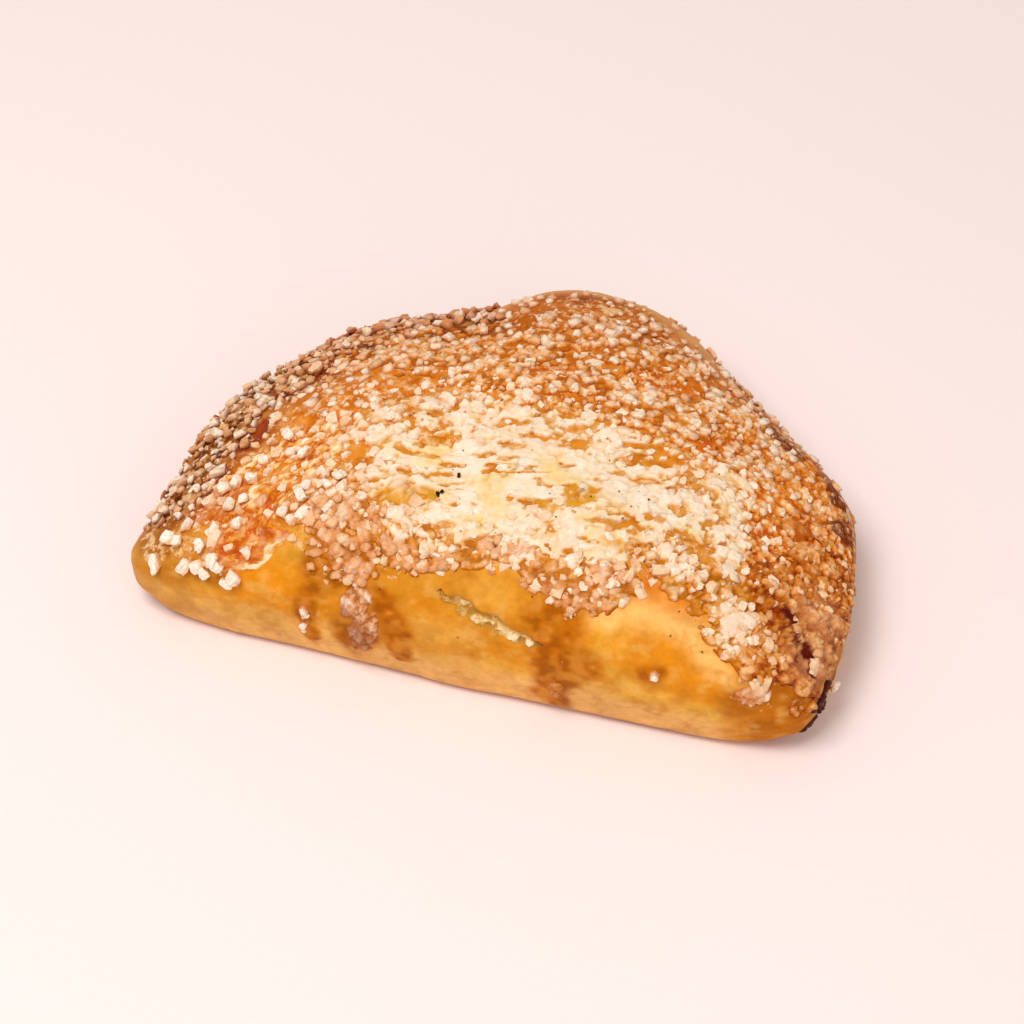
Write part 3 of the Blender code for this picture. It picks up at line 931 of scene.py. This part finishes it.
def glazedHeight(points):
    # browned lumps under caramel at the right end, maroon where they scorched; the valleys are darkest,
    # partly as painted shade
    x, y, z = points.T
    wx, wy, wz = warped(points, 4.0, 1.8, 301).T
    cover = zone(wx, wy, "glazed") * ramp(8.0, 12.0, z)
    cover = np.maximum(cover, zone(wy, wz, "endFace") * ramp(56.0, 60.0, x))
    dome, owner = lumps(warped(points, 1.6, 0.5, 311), 2.7, 305, 0.58, 4.0, 0.15, 0.9, 1.8)
    crumbs, crumbOwner = lumps(warped(points, 1.0, 0.2, 317), 0.85, 315, 0.62, 4.0, 0.15, 0.9)
    scorch = zone(wx, wy, "scorched") * (0.85 + 1.3 * layered(points, 2.0, 321, 3))
    level = ramp(0.34, 0.56, cover + 0.25 * (dome - 0.5))
    height = level * (0.05 + 0.7 * dome + 0.45 * crumbs) - 0.2 * (1.0 - level)
    # darkest in the valleys: partly browned caramel, partly painted shade
    colour = scale(("#6E1C00", "#983A00", "#C0620E", "#DE9044", "#F8BE82"), (-0.1, 0.25, 0.6, 0.95, 1.35),
                   height + 0.30 * crumbOwner + 0.20 * owner)
    colour = tintedInTurn(colour, [
        ("#E8A878", zone(y, z, "endPale") * ramp(55.0, 60.0, x) * 0.6),
        ("#600E00", ramp(0.32, 0.62, scorch) * ramp(1.1, 0.5, height + 0.3 * crumbOwner)),
    ])
    return height, colour, 0.35 * level


def flakyHeight(points):
    # thin layers of dough torn along slanting lines, in steps of about half a millimetre
    x, y, z = points.T
    wx, wy, wz = warped(points, 5.0, 1.6, 351).T
    cover = np.maximum(zone(wx, wy, "flank"), zone(wx, wz, "flankFace") * ramp(-36.0, -39.0, y))
    along, across = 0.6 * x + 0.8 * y, 0.8 * x - 0.6 * y
    bent = across + 2.0 * noise(points, 8.0, 353) + 0.8 * noise(points, 3.0, 354)
    streaks = layered(np.column_stack((bent, along * 0.5, z * 0.4)), 2.6, 355, 4)
    slope = 2.8 * streaks + 0.30 * bent
    step = np.floor(slope) + ramp(0.78, 1.0, slope - np.floor(slope))
    shreds = layered(points, 1.2, 357, 2)
    level = ramp(0.34, 0.55, cover + 0.22 * streaks)
    height = level * (0.22 + 0.36 * (step - slope) + 0.26 * shreds) - 0.2 * (1.0 - level)
    colour = scale(("#C2560A", "#E58A2C", "#F7C27A", "#FEE6BC"), (-0.05, 0.10, 0.26, 0.46),
                   height + 0.20 * noise(points, 4.0, 359) + 0.45 * streaks + 0.15 * shreds)
    colour = tintedInTurn(colour, [
        ("#C24A0C", ramp(0.25, 0.5, noise(points, 4.5, 361)) * 0.6),
        ("#D98A58", ramp(0.2, 0.7, noise(points, 5.5, 363)) * 0.5),
    ])
    frothy = layered(points, 1.2, 365, 3)
    red = ramp(0.25, 0.7, zone(wx, wy, "flankRed") + 0.3 * frothy)
    colour = tintedInTurn(colour, [
        ("#D6620E", red * 0.8),
        ("#F4B070", red * ramp(0.05, 0.35, frothy + 0.3 * shreds) * 0.8),
        ("#B03C06", red * ramp(0.10, 0.35, -frothy) * 0.7),
    ])
    stripe = (bell(z - (20.2 + 0.55 * (x + 41.0)) + 1.0 * frothy, 0.38) * bell(x + 38.0, 4.2)
              * ramp(-37.0, -40.0, y))
    colour = tinted(colour, "#FCDFAE", ramp(0.3, 0.6, stripe))
    return height, colour, 0.45 * level


def crumbHeight(points):
    # the torn crumb in the tear: a pale spongy lip below, an open hollow above it under the lifted skin;
    # the hollow's darker colours and a thin dark line under the skin's edge are painted shade
    x, z = points[:, 0], points[:, 2]
    opened = tearShape(points)
    dome, owner = lumps(warped(points, 1.0, 0.3, 509), 0.8, 507, 0.6, 4.0, 0.2, 0.9)
    rough = layered(points, 1.3, 513, 3)
    fallen = z - (21.2 - 0.343 * (x - 5.0)) + 0.8 * layered(points, 2.6, 511, 2)
    broken = ramp(-0.35, 0.15, rough)
    lip = (bell(fallen + 0.7, 0.6) * ramp(-3.0, 3.0, x) * broken + 0.5 * bell(fallen - 0.9, 0.4)
           * ramp(8.0, 2.0, x))
    level = ramp(0.15, 0.5, opened + 0.40 * rough)
    height = level * (0.10 + 0.42 * lip + 0.22 * dome * broken + 0.22 * rough) - 0.2 * (1.0 - level)
    # low places in the hollow take the darker colours: partly torn crumb, partly painted shade
    colour = scale(("#B88434", "#D09C4C", "#E8BC78", "#F9E2BA"), (0.0, 0.20, 0.44, 0.75),
                   height + 0.25 * owner * lip + 0.25 * rough)
    # a painted shadow line under the lifted skin's edge
    colour = tinted(colour, "#8A5418", bell(fallen - 1.5, 0.30) * ramp(0.0, 0.4, rough) * 0.7)
    return height, colour, 0.3 * level


def juiceHeight(points):
    # filling that leaked at the right front corner and burnt
    x, z = points.T[::2]
    wy, wz = warped(points, 3.0, 1.4, 601).T[1:]
    run = zone(wy, wz, "juice") * ramp(60.0, 64.0, x)
    run = run * ramp(0.8, 2.6, z)
    dome = lumps(warped(points, 2.0, 0.6, 611), 1.7, 605, 0.64, 2.6)[0]
    level = ramp(0.4, 0.75, run + 0.2 * (dome - 0.5))
    height = level * (0.2 + 0.6 * dome) - 0.2 * (1.0 - level)
    colour = scale(("#3A0E06", "#571E10", "#7C4428"), (-0.1, 0.6, 1.4), height)
    return height, colour, np.zeros(len(points))


def rimBand(points):
    # the piled band round the left end: within about 14 mm of the outline
    turned = foldAngle(points)
    edge = outlineReach(np.radians(turned)) - np.hypot(points[:, 0] - shift[0], points[:, 1] - shift[1])
    around = np.where(turned < -90.0, turned + 360.0, turned)
    left = ramp(104.0, 124.0, around) * ramp(191.0, 185.0, around)
    bare = zone(points[:, 0], points[:, 1], "scorched")
    inner = (ramp(15.0, 10.0, edge + 3.0 * noise(points, 7.0, 65))
             * ramp(-0.55, -0.25, layered(points, 5.0, 66, 2)))
    return left * inner * ramp(11.0, 14.0, points[:, 2] + 1.5 * noise(points, 4.0, 67)) * (1.0 - 0.9 * bare)


# name, height function, spacing of the grid in millimetres, material, slot, reach towards both ends
shells = (
    ("meltedSugar", meltedHeight, 0.27, meltFinish, "melted_sugar", 1.7),
    ("bakedSugar", backHeight, 0.29, sugarFinish, "coarse_sugar", 1.7),
    ("slopeSugar", slopeHeight, 0.28, sugarFinish, "coarse_sugar", 1.7),
    ("rimBed", rimHeight, 0.36, sugarFinish, "coarse_sugar", 1.7),
    ("sugarClumps", clumpHeight, 0.27, sugarFinish, "coarse_sugar", 1.7),
    ("sugarDrips", dripHeight, 0.24, sugarFinish, "coarse_sugar", 1.7),
    ("glazedLumps", glazedHeight, 0.30, caramelFinish, "melted_sugar", 1.7),
    ("flakyLayers", flakyHeight, 0.30, pastryFinish, "baked_crust", 1.7),
    ("tornCrumb", crumbHeight, 0.19, pastryFinish, "baked_crust", 1.7),
    ("burntJuice", juiceHeight, 0.28, caramelFinish, "melted_sugar", 1.85),
)
for row in shells:
    shellPiece(*row)


crystal = {
    "shapes": 16,         # different chipped blocks in one piece
    "cuts": 6,            # planes that press each of them flat
    "boxiness": 7.0,      # power of the superellipse round each block
    "shake": 0.07,        # spread of every corner's shake, as a share of half the size
    "tilt": 0.35,         # spread of the tilt off the surface, in radians
    "long": 0.22,         # spread of the stretch along one side
    "flat": 0.85,         # height over width
    "grit": 0.45,         # share of the surface under fine grains, less where the foot's soak and painted shade lie
}


def crystalShapes(number, side, seed):
    # chipped blocks: a box with hardly rounded corners, pressed flat by random planes, every corner shaken
    rng = np.random.default_rng(seed)
    lattice, quads = boxCover((side, side, side))
    body = np.tan(lattice * eighth)
    power = crystal["boxiness"]
    body = body / (np.abs(body) ** power).sum(axis=1)[:, None] ** (1.0 / power)
    shapes = body[None] * rng.uniform(0.72, 1.12, (number, 1, 3))
    for cut in range(crystal["cuts"]):
        facing = rng.normal(size=(number, 3))
        facing /= np.linalg.norm(facing, axis=1)[:, None]
        depth = rng.uniform(0.58, 0.98, number)
        excess = np.einsum("kvi,ki->kv", shapes, facing) - depth[:, None]
        shapes = shapes - facing[:, None, :] * np.maximum(excess, 0.0)[..., None]
    return shapes + rng.normal(0.0, crystal["shake"], shapes.shape), quads


def scatter(density, tries, gap, seed):
    # random places on the crust, as many per area as density says, none nearer to another than gap
    rng = np.random.default_rng(seed)
    corners = crustPoints[crustQuads]
    middle = corners.mean(axis=1)
    area = np.linalg.norm(np.cross(corners[:, 2] - corners[:, 0], corners[:, 3] - corners[:, 1]), axis=1)
    weight = area * density(middle)
    chosen = rng.choice(len(weight), tries, p=weight / weight.sum())
    a, b = rng.random(tries), rng.random(tries)
    share = np.column_stack(((1 - a) * (1 - b), a * (1 - b), a * b, (1 - a) * b))
    places = np.einsum("nc,nci->ni", share, corners[chosen])
    facing = np.einsum("nc,nci->ni", share, crustNormals[crustQuads[chosen]])
    facing /= np.linalg.norm(facing, axis=1)[:, None]
    kept = np.empty((tries, 3))
    order, used = [], 0
    for index in range(tries):
        if used == 0 or ((kept[:used] - places[index]) ** 2).sum(axis=1).min() > gap * gap:
            kept[used] = places[index]
            order.append(index)
            used += 1
    return places[order], facing[order]


def crystalPiece(name, places, facing, sizes, colours, soakAndShade, lift, seed, side, material=sugarFinish,
                 smooth=False):
    # every crystal is one of a few shapes, turned about the normal, tilted, and tinted on its sides and
    # underside, partly as caramel soaked in and partly as painted shade
    rng = np.random.default_rng(seed)
    shapes, ring = crystalShapes(crystal["shapes"], side, seed + 1)
    number = len(places)
    yaw = rng.uniform(0, 2 * math.pi, number)
    lean = rng.normal(0, crystal["tilt"], number)
    way = rng.uniform(0, 2 * math.pi, number)
    helper = np.where(np.abs(facing[:, 2:3]) < 0.9, ((0.0, 0.0, 1.0),), ((1.0, 0.0, 0.0),))
    level = np.cross(helper, facing)
    level /= np.linalg.norm(level, axis=1)[:, None]
    front = np.cross(facing, level)
    across = level * np.cos(way)[:, None] + front * np.sin(way)[:, None]
    other = np.cross(facing, across)
    up = facing * np.cos(lean)[:, None] + other * np.sin(lean)[:, None]
    behind = np.cross(up, across)
    a = across * np.cos(yaw)[:, None] + behind * np.sin(yaw)[:, None]
    b = np.cross(up, a)
    length = 1.0 + crystal["long"] * np.abs(rng.normal(size=number))
    stretchBy = np.column_stack((length, np.ones(number), np.full(number, crystal["flat"])))
    local = (shapes[rng.integers(0, len(shapes), number)] * stretchBy[:, None, :]
             * (sizes / 2.0)[:, None, None])
    turned = local[..., 0:1] * a[:, None] + local[..., 1:2] * b[:, None] + local[..., 2:3] * up[:, None]
    points = places[:, None] + facing[:, None] * lift[:, None, None] + turned
    over = np.einsum("nvi,ni->nv", turned, facing) / np.linalg.norm(turned, axis=2)
    # foot: share of caramel soak and painted shade, strongest on the sides and underside away from the
    # surface normal
    foot = np.clip(ramp(0.62, -0.20, over) + rng.normal(0.0, 0.12, over.shape), 0.0, 1.0)
    colour = colours[:, None] + (linear(soakAndShade) - colours[:, None]) * foot[..., None]
    quads = (np.arange(number)[:, None, None] * local.shape[1] + ring[None]).reshape(-1, 4)
    return makePiece(name, points.reshape(-1, 3), quads, material, colour.reshape(-1, 3),
                     crystal["grit"] * (1.0 - foot.reshape(-1)), smooth)


def sugarColour(amount):
    # 0 is white, 1 is brown
    return scale(("#FEE6CC", "#FAD0A6", "#EBAE78", "#D08A50", "#9C5426"), (0.0, 0.25, 0.5, 0.75, 1.0),
                 amount)


# how much loose sugar lies at each point, with 0 for none: every density is a product of ramps, zones and
# noise, and most of them stop at the edge of the sugar's area


def backDensity(points):
    # behind the sheet, in the same clusters as the sugar below, and less at the left rim
    x, y = points.T[:2]
    clear = ramp(0.0, 8.0, y + 0.10 * (x + 10.0)) * ramp(56.0, 44.0, x)
    clear = np.maximum(clear, 0.7 * ramp(-26.0, -34.0, x) * ramp(-12.0, -4.0, y))
    bare = zone(x, y, "bald", "scorched")
    return (clear * (1.0 - bare) * sugarArea(points) * backClusters(points) ** 2
            * (1.0 - 0.9 * rimBand(points)))


def slopeDensity(points):
    # on the slope down to the right end
    x, y = points.T[:2]
    bare = zone(x, y, "bald", "scorched")
    return (ramp(38.0, 48.0, x + 0.35 * (y + 10.0)) * ramp(-36.0, -30.0, y) * (1.0 - bare)
            * sugarArea(points) * ramp(-0.5, 0.3, layered(points, 5.0, 92, 2)))


def sheetDensity(points):
    # the sheet's ragged border and its upper and right parts still hold whole crystals
    x, y = points.T[:2]
    near = zone(x, y, "melted")
    bare = zone(x, y, "gaps", "green")
    whole = zone(x, y, "wholeGrains")
    kept = (0.8 * bell(near - 0.42, 0.14) + 0.9 * whole * near) * sugarArea(points) * (1.0 - 0.9 * bare)
    return kept * ramp(-0.3, 0.4, layered(points, 4.0, 93, 2))


def lowerDensity(points):
    # in clusters along the band on top of the fold
    x, y = points.T[:2]
    clustered = ramp(-0.1, 0.4, layered(points, 4.5, 95, 2))
    return ramp(0.25, 0.6, zone(x, y, "lower")) * clustered * sugarArea(points)


def clumpDensity(points):
    # on the pinkish clumps
    x, y = points.T[:2]
    return np.clip(zone(x, y, "clumps") - 0.4, 0.0, 1.0) * sugarArea(points)


def endDensity(points):
    # on the glazed lumps at the right end, less where they scorched
    x, y, z = points.T
    return zone(x, y, "glazed") * ramp(9.0, 12.0, z) * (1.0 - 0.6 * zone(x, y, "scorched")) * \
        ramp(0.1, 0.4, sugarArea(points)) * ramp(52.0, 55.0, x)


def flankDensity(points):
    # on and round the torn layers
    x, y = points.T[:2]
    return zone(x, y, "flankSugar") * sugarArea(points)


def skirtDensity(points):
    # a loose scatter below the sugar in the middle of the back
    x, y, z = points.T
    middle = ramp(14.0, 22.0, y) * ramp(-42.0, -30.0, x) * ramp(46.0, 34.0, x)
    return (middle * ramp(9.0, 12.0, z) * ramp(21.0, 17.0, z)
            * (0.15 + ramp(-0.2, 0.4, layered(points, 6.0, 96, 2))))


def dustDensity(points):
    # nearly everywhere that sugar lies, but hardly on bare, smooth or scorched places
    x, y = points.T[:2]
    bare = zone(x, y, "bald", "scorched", "gaps", "smooth", "green")
    return (sugarArea(points) * (1.0 - 0.9 * bare) * (1.0 - 0.6 * ramp(34.0, 46.0, x))
            * ramp(-0.4, 0.4, layered(points, 6.0, 94, 3)))


def speckDensity(points):
    # in front of the back, more on the melted sheet
    x, y, z = points.T
    return ramp(4.0, 8.0, z) * ramp(10.0, 0.0, y) * (0.4 + ramp(0.3, 0.8, zone(x, y, "melted")))


# single crisp crystals along the left part of the fold and its end: x, y, z, size
crispPlaces = (
    (-64, -30, 15, 2.6), (-59, -39.5, 18, 2.3), (-56.5, -41, 19, 2.5), (-51.5, -41.5, 20.5, 2.5),
    (-60.5, -43.5, 14.5, 2.4), (-54, -44, 17, 2.6), (-51.5, -44, 17.5, 2.4), (-48.5, -43, 19.5, 2.6),
    (-47.5, -44, 18.5, 2.5), (-50, -44.5, 17, 2.2), (-44, -45, 17.5, 2.7), (-45.5, -45, 16, 2.3),
    (-49.5, -38.5, 23, 2.3), (-46, -37.5, 24.5, 2.3), (-48.5, -33, 24, 2.7), (-46, -32, 25.5, 2.3),
    (-51.5, -28.5, 22.5, 2.4), (-49, -27.5, 24, 2.2), (-46, -27, 25, 2.6), (-45.5, -22, 25.5, 2.2),
    (-43, -15.5, 26.5, 2.5), (-40.5, -20.5, 27.5, 2.2), (-38.5, -21, 28.5, 2.1), (-34.5, -30, 30, 2.5),
    (-34.5, -32, 29.5, 2.1), (-33, -35.5, 28.5, 2.4), (-35, -36.5, 27.5, 2.2), (-37, -35, 28, 2.1),
    (-30.5, -29, 31, 2.2), (-56, -37, 20, 2.0), (-28.5, -26.5, 31.5, 2.3), (-30, -45.5, 13.5, 1.6),
    (-29.4, -45.6, 12.8, 1.1), (-30.4, -46, 9.8, 1.3), (-30.8, -46, 8.2, 1.0), (37, -45, 17.5, 1.3),
    (67, -31, 8.5, 2.2),
)


def nearestPlaces(wanted):
    # the crust's own points nearest to the wanted ones, and their normals
    found = [int(((crustPoints - place) ** 2).sum(axis=1).argmin()) for place in wanted]
    return crustPoints[found], crustNormals[found]


sugarGroups = (
    # name, density, tries, gap, size, spread, sink, least and most brown, colour of the soaked and shaded
    # sides, quads a side, seed
    ("rimSugar", rimBand, 5000, 1.72, 1.80, 0.32, 0.14, -0.10, 0.75, "#7A2400", 2, 21),
    ("rimSugarOver", rimBand, 700, 3.4, 1.6, 0.3, 0.45, -0.10, 0.35, "#944208", 2, 22),
    ("backSugar", backDensity, 1500, 2.2, 1.7, 0.30, -0.06, -0.05, 0.50, "#BC5806", 2, 23),
    ("fineSugar", slopeDensity, 420, 2.5, 1.5, 0.30, -0.16, 0.00, 0.60, "#BC5C0A", 2, 24),
    ("sheetSugar", sheetDensity, 1300, 2.2, 1.9, 0.28, -0.16, -0.05, 0.20, "#EFA85A", 2, 25),
    ("lowerSugar", lowerDensity, 420, 2.0, 1.9, 0.28, -0.14, 0.00, 0.45, "#D08434", 2, 26),
    ("clumpSugar", clumpDensity, 240, 1.9, 1.7, 0.25, -0.12, 0.20, 0.60, "#C4722E", 2, 27),
    ("flankSugar", flankDensity, 130, 2.6, 1.8, 0.3, 0.0, 0.05, 0.45, "#E09A50", 2, 28),
    ("endSugar", endDensity, 130, 3.4, 1.8, 0.35, -0.22, 0.10, 0.55, "#A04A10", 2, 29),
    ("skirtSugar", skirtDensity, 230, 2.2, 1.6, 0.32, 0.10, 0.00, 0.55, "#BC5C0A", 2, 31),
    ("sugarDust", dustDensity, 1000, 1.8, 0.95, 0.35, -0.08, 0.10, 0.70, "#C06418", 1, 30),
)


def makeCrystals():
    # each group is scattered by its density, lifted on to the sugar below, and coloured between two browns
    rng = np.random.default_rng(7)
    for name, density, tries, gap, size, spread, sink, least, most, soakAndShade, side, seed in sugarGroups:
        places, facing = scatter(density, tries, gap, seed)
        sizes = size * np.clip(rng.normal(1.0, spread, len(places)), 0.55, 1.6)
        under = np.zeros(len(places))
        if name not in ("rimSugar", "rimSugarOver"):
            for height in (meltedHeight, backHeight, clumpHeight, slopeHeight, glazedHeight):
                under = np.maximum(under, height(places)[0])
        amount = least + (most - least) * rng.beta(1.5, 1.7, len(places))
        # browner on the back's left part and towards the right end
        x, y = places.T[:2]
        amount += 0.12 * ramp(-20.0, -40.0, x) * ramp(2.0, 12.0, y) + 0.25 * ramp(48.0, 60.0, x)
        shade = sugarColour(amount)
        if name == "rimSugar":
            shade = tinted(shade, "#D8703C", ramp(0.0, 20.0, y) * 0.40)
        print(name, len(places), "crystals")
        crystalPiece(name, places, facing, sizes, shade, soakAndShade, sizes * sink + under * 0.6, seed + 100,
                     side, smooth=name in ("backSugar", "fineSugar", "endSugar", "clumpSugar"))
    wanted = np.array(crispPlaces)
    places, facing = nearestPlaces(wanted[:, :3])
    sizes = wanted[:, 3]
    white = tinted(sugarColour(rng.uniform(0.0, 0.3, len(places))), "#FFF8EE", np.full(len(places), 0.6))
    crystalPiece("crispSugar", places, facing, sizes, white, "#EEB87C", sizes * 0.34, 131, 3)


def makeSpecks():
    # scorched flecks of dough, most of them under half a millimetre, and three black ones
    rng = np.random.default_rng(8)
    places, facing = scatter(speckDensity, 80, 2.5, 41)
    sizes = rng.uniform(0.22, 0.45, len(places))
    codes = ("#8A5418", "#6A3410", "#9A6424")
    colours = np.array([linear(codes[k]) for k in rng.integers(0, 3, len(places))])
    wanted = np.array(((-9.5, -27.2, 33.0), (-8.9, -26.6, 33.0), (-7.4, -21.6, 33.6)))
    black, blackFacing = nearestPlaces(wanted)
    places, facing = np.concatenate((places, black)), np.concatenate((facing, blackFacing))
    sizes = np.concatenate((sizes, (1.2, 0.9, 0.7)))
    colours = np.concatenate((colours, np.tile(linear("#1E0F08"), (3, 1))))
    under = np.maximum(meltedHeight(places)[0], 0.0)
    crystalPiece("scorchedSpecks", places, facing, sizes, colours, "#4A2A10", under + 0.02 + sizes * 0.2,
                 141, 1, pastryFinish)


makeCrystals()
makeSpecks()


# everything round the pastry
studio = {
    "floorReach": 3.0, "floorCodes": ("#FCE9E4", "#FEEDE8"), "floorRoughness": 0.9, "fibreScale": 900.0,
    "worldCode": "#FFFBF9", "worldStrength": 0.50,
    # name, place in metres, watts, width in metres
    "lamps": (
        ("keySoftbox", (-0.18, -0.27, 0.80), 4.4, 0.40),
        ("fillSoftbox", (0.5, -0.6, 0.35), 0.9, 0.6),
    ),
    "lampCode": "#FFFFFF", "lampAim": (0, 0, 0.015),
}


def makeFloor():
    # a plain matt table top, with a barely visible fibre
    material, tree, shader = newMaterial("paleMattTable")
    place = add(tree, "ShaderNodeTexCoord")
    fibre = add(tree, "ShaderNodeTexNoise", inputs={"Scale": studio["fibreScale"], "Detail": 3.0},
                links={"Vector": place.outputs["Object"]})
    shade = add(tree, "ShaderNodeMix", {"data_type": "RGBA"}, links={"Factor": fibre.outputs["Fac"]})
    for socket, code in zip((6, 7), studio["floorCodes"]):
        shade.inputs[socket].default_value = (*linear(code), 1.0)
    tree.links.new(shade.outputs[2], shader.inputs["Base Color"])
    shader.inputs["Roughness"].default_value = studio["floorRoughness"]
    mesh = bpy.data.meshes.new("floor")
    reach = studio["floorReach"]
    corners = [(-reach, -reach, 0), (reach, -reach, 0), (reach, reach, 0), (-reach, reach, 0)]
    mesh.from_pydata(corners, [], [(0, 1, 2, 3)])
    mesh.materials.append(material)
    floor = bpy.data.objects.new("floor", mesh)
    bpy.context.scene.collection.objects.link(floor)


def makeLight(name, place, energy, size):
    # a square softbox that faces the pastry
    data = bpy.data.lights.new(name, "AREA")
    data.energy, data.color = energy, linear(studio["lampCode"])
    data.size = size
    lamp = bpy.data.objects.new(name, data)
    lamp.location = place
    lamp.rotation_euler = (Vector(studio["lampAim"]) - Vector(place)).to_track_quat("-Z", "Y").to_euler()
    bpy.context.scene.collection.objects.link(lamp)


def makeWorld():
    # even light from all sides
    world = bpy.data.worlds.new("studio")
    world.use_nodes = True
    background = world.node_tree.nodes["Background"]
    background.inputs["Color"].default_value = (*linear(studio["worldCode"]), 1.0)
    background.inputs["Strength"].default_value = studio["worldStrength"]
    bpy.context.scene.world = world


view = {
    "azimuth": 16.42, "elevation": 48.0, "distance": 600.0, "lens": 110.7, "sensor": 36.0,
    "aim": (-0.14, -11.19, 13.79),      # the point that it faces; this and the distance are in millimetres
    "clip": (0.01, 20.0),               # nearest and farthest, in metres
}


def makeCamera():
    # the camera stands at its distance from the aim, along the line back from it
    az, el = math.radians(view["azimuth"]), math.radians(view["elevation"])
    back = Vector((math.sin(az) * math.cos(el), -math.cos(az) * math.cos(el), math.sin(el)))
    data = bpy.data.cameras.new("camera")
    data.lens, data.sensor_width = view["lens"], view["sensor"]
    data.clip_start, data.clip_end = view["clip"]
    camera = bpy.data.objects.new("camera", data)
    camera.location = (Vector(view["aim"]) + back * view["distance"]) * mm
    camera.rotation_euler = back.to_track_quat("Z", "Y").to_euler()
    bpy.context.scene.collection.objects.link(camera)
    bpy.context.scene.camera = camera


makeFloor()
makeWorld()
for lamp in studio["lamps"]:
    makeLight(*lamp)
makeCamera()
bpy.context.scene.view_settings.view_transform = "Standard"
print("floor, light and camera placed")
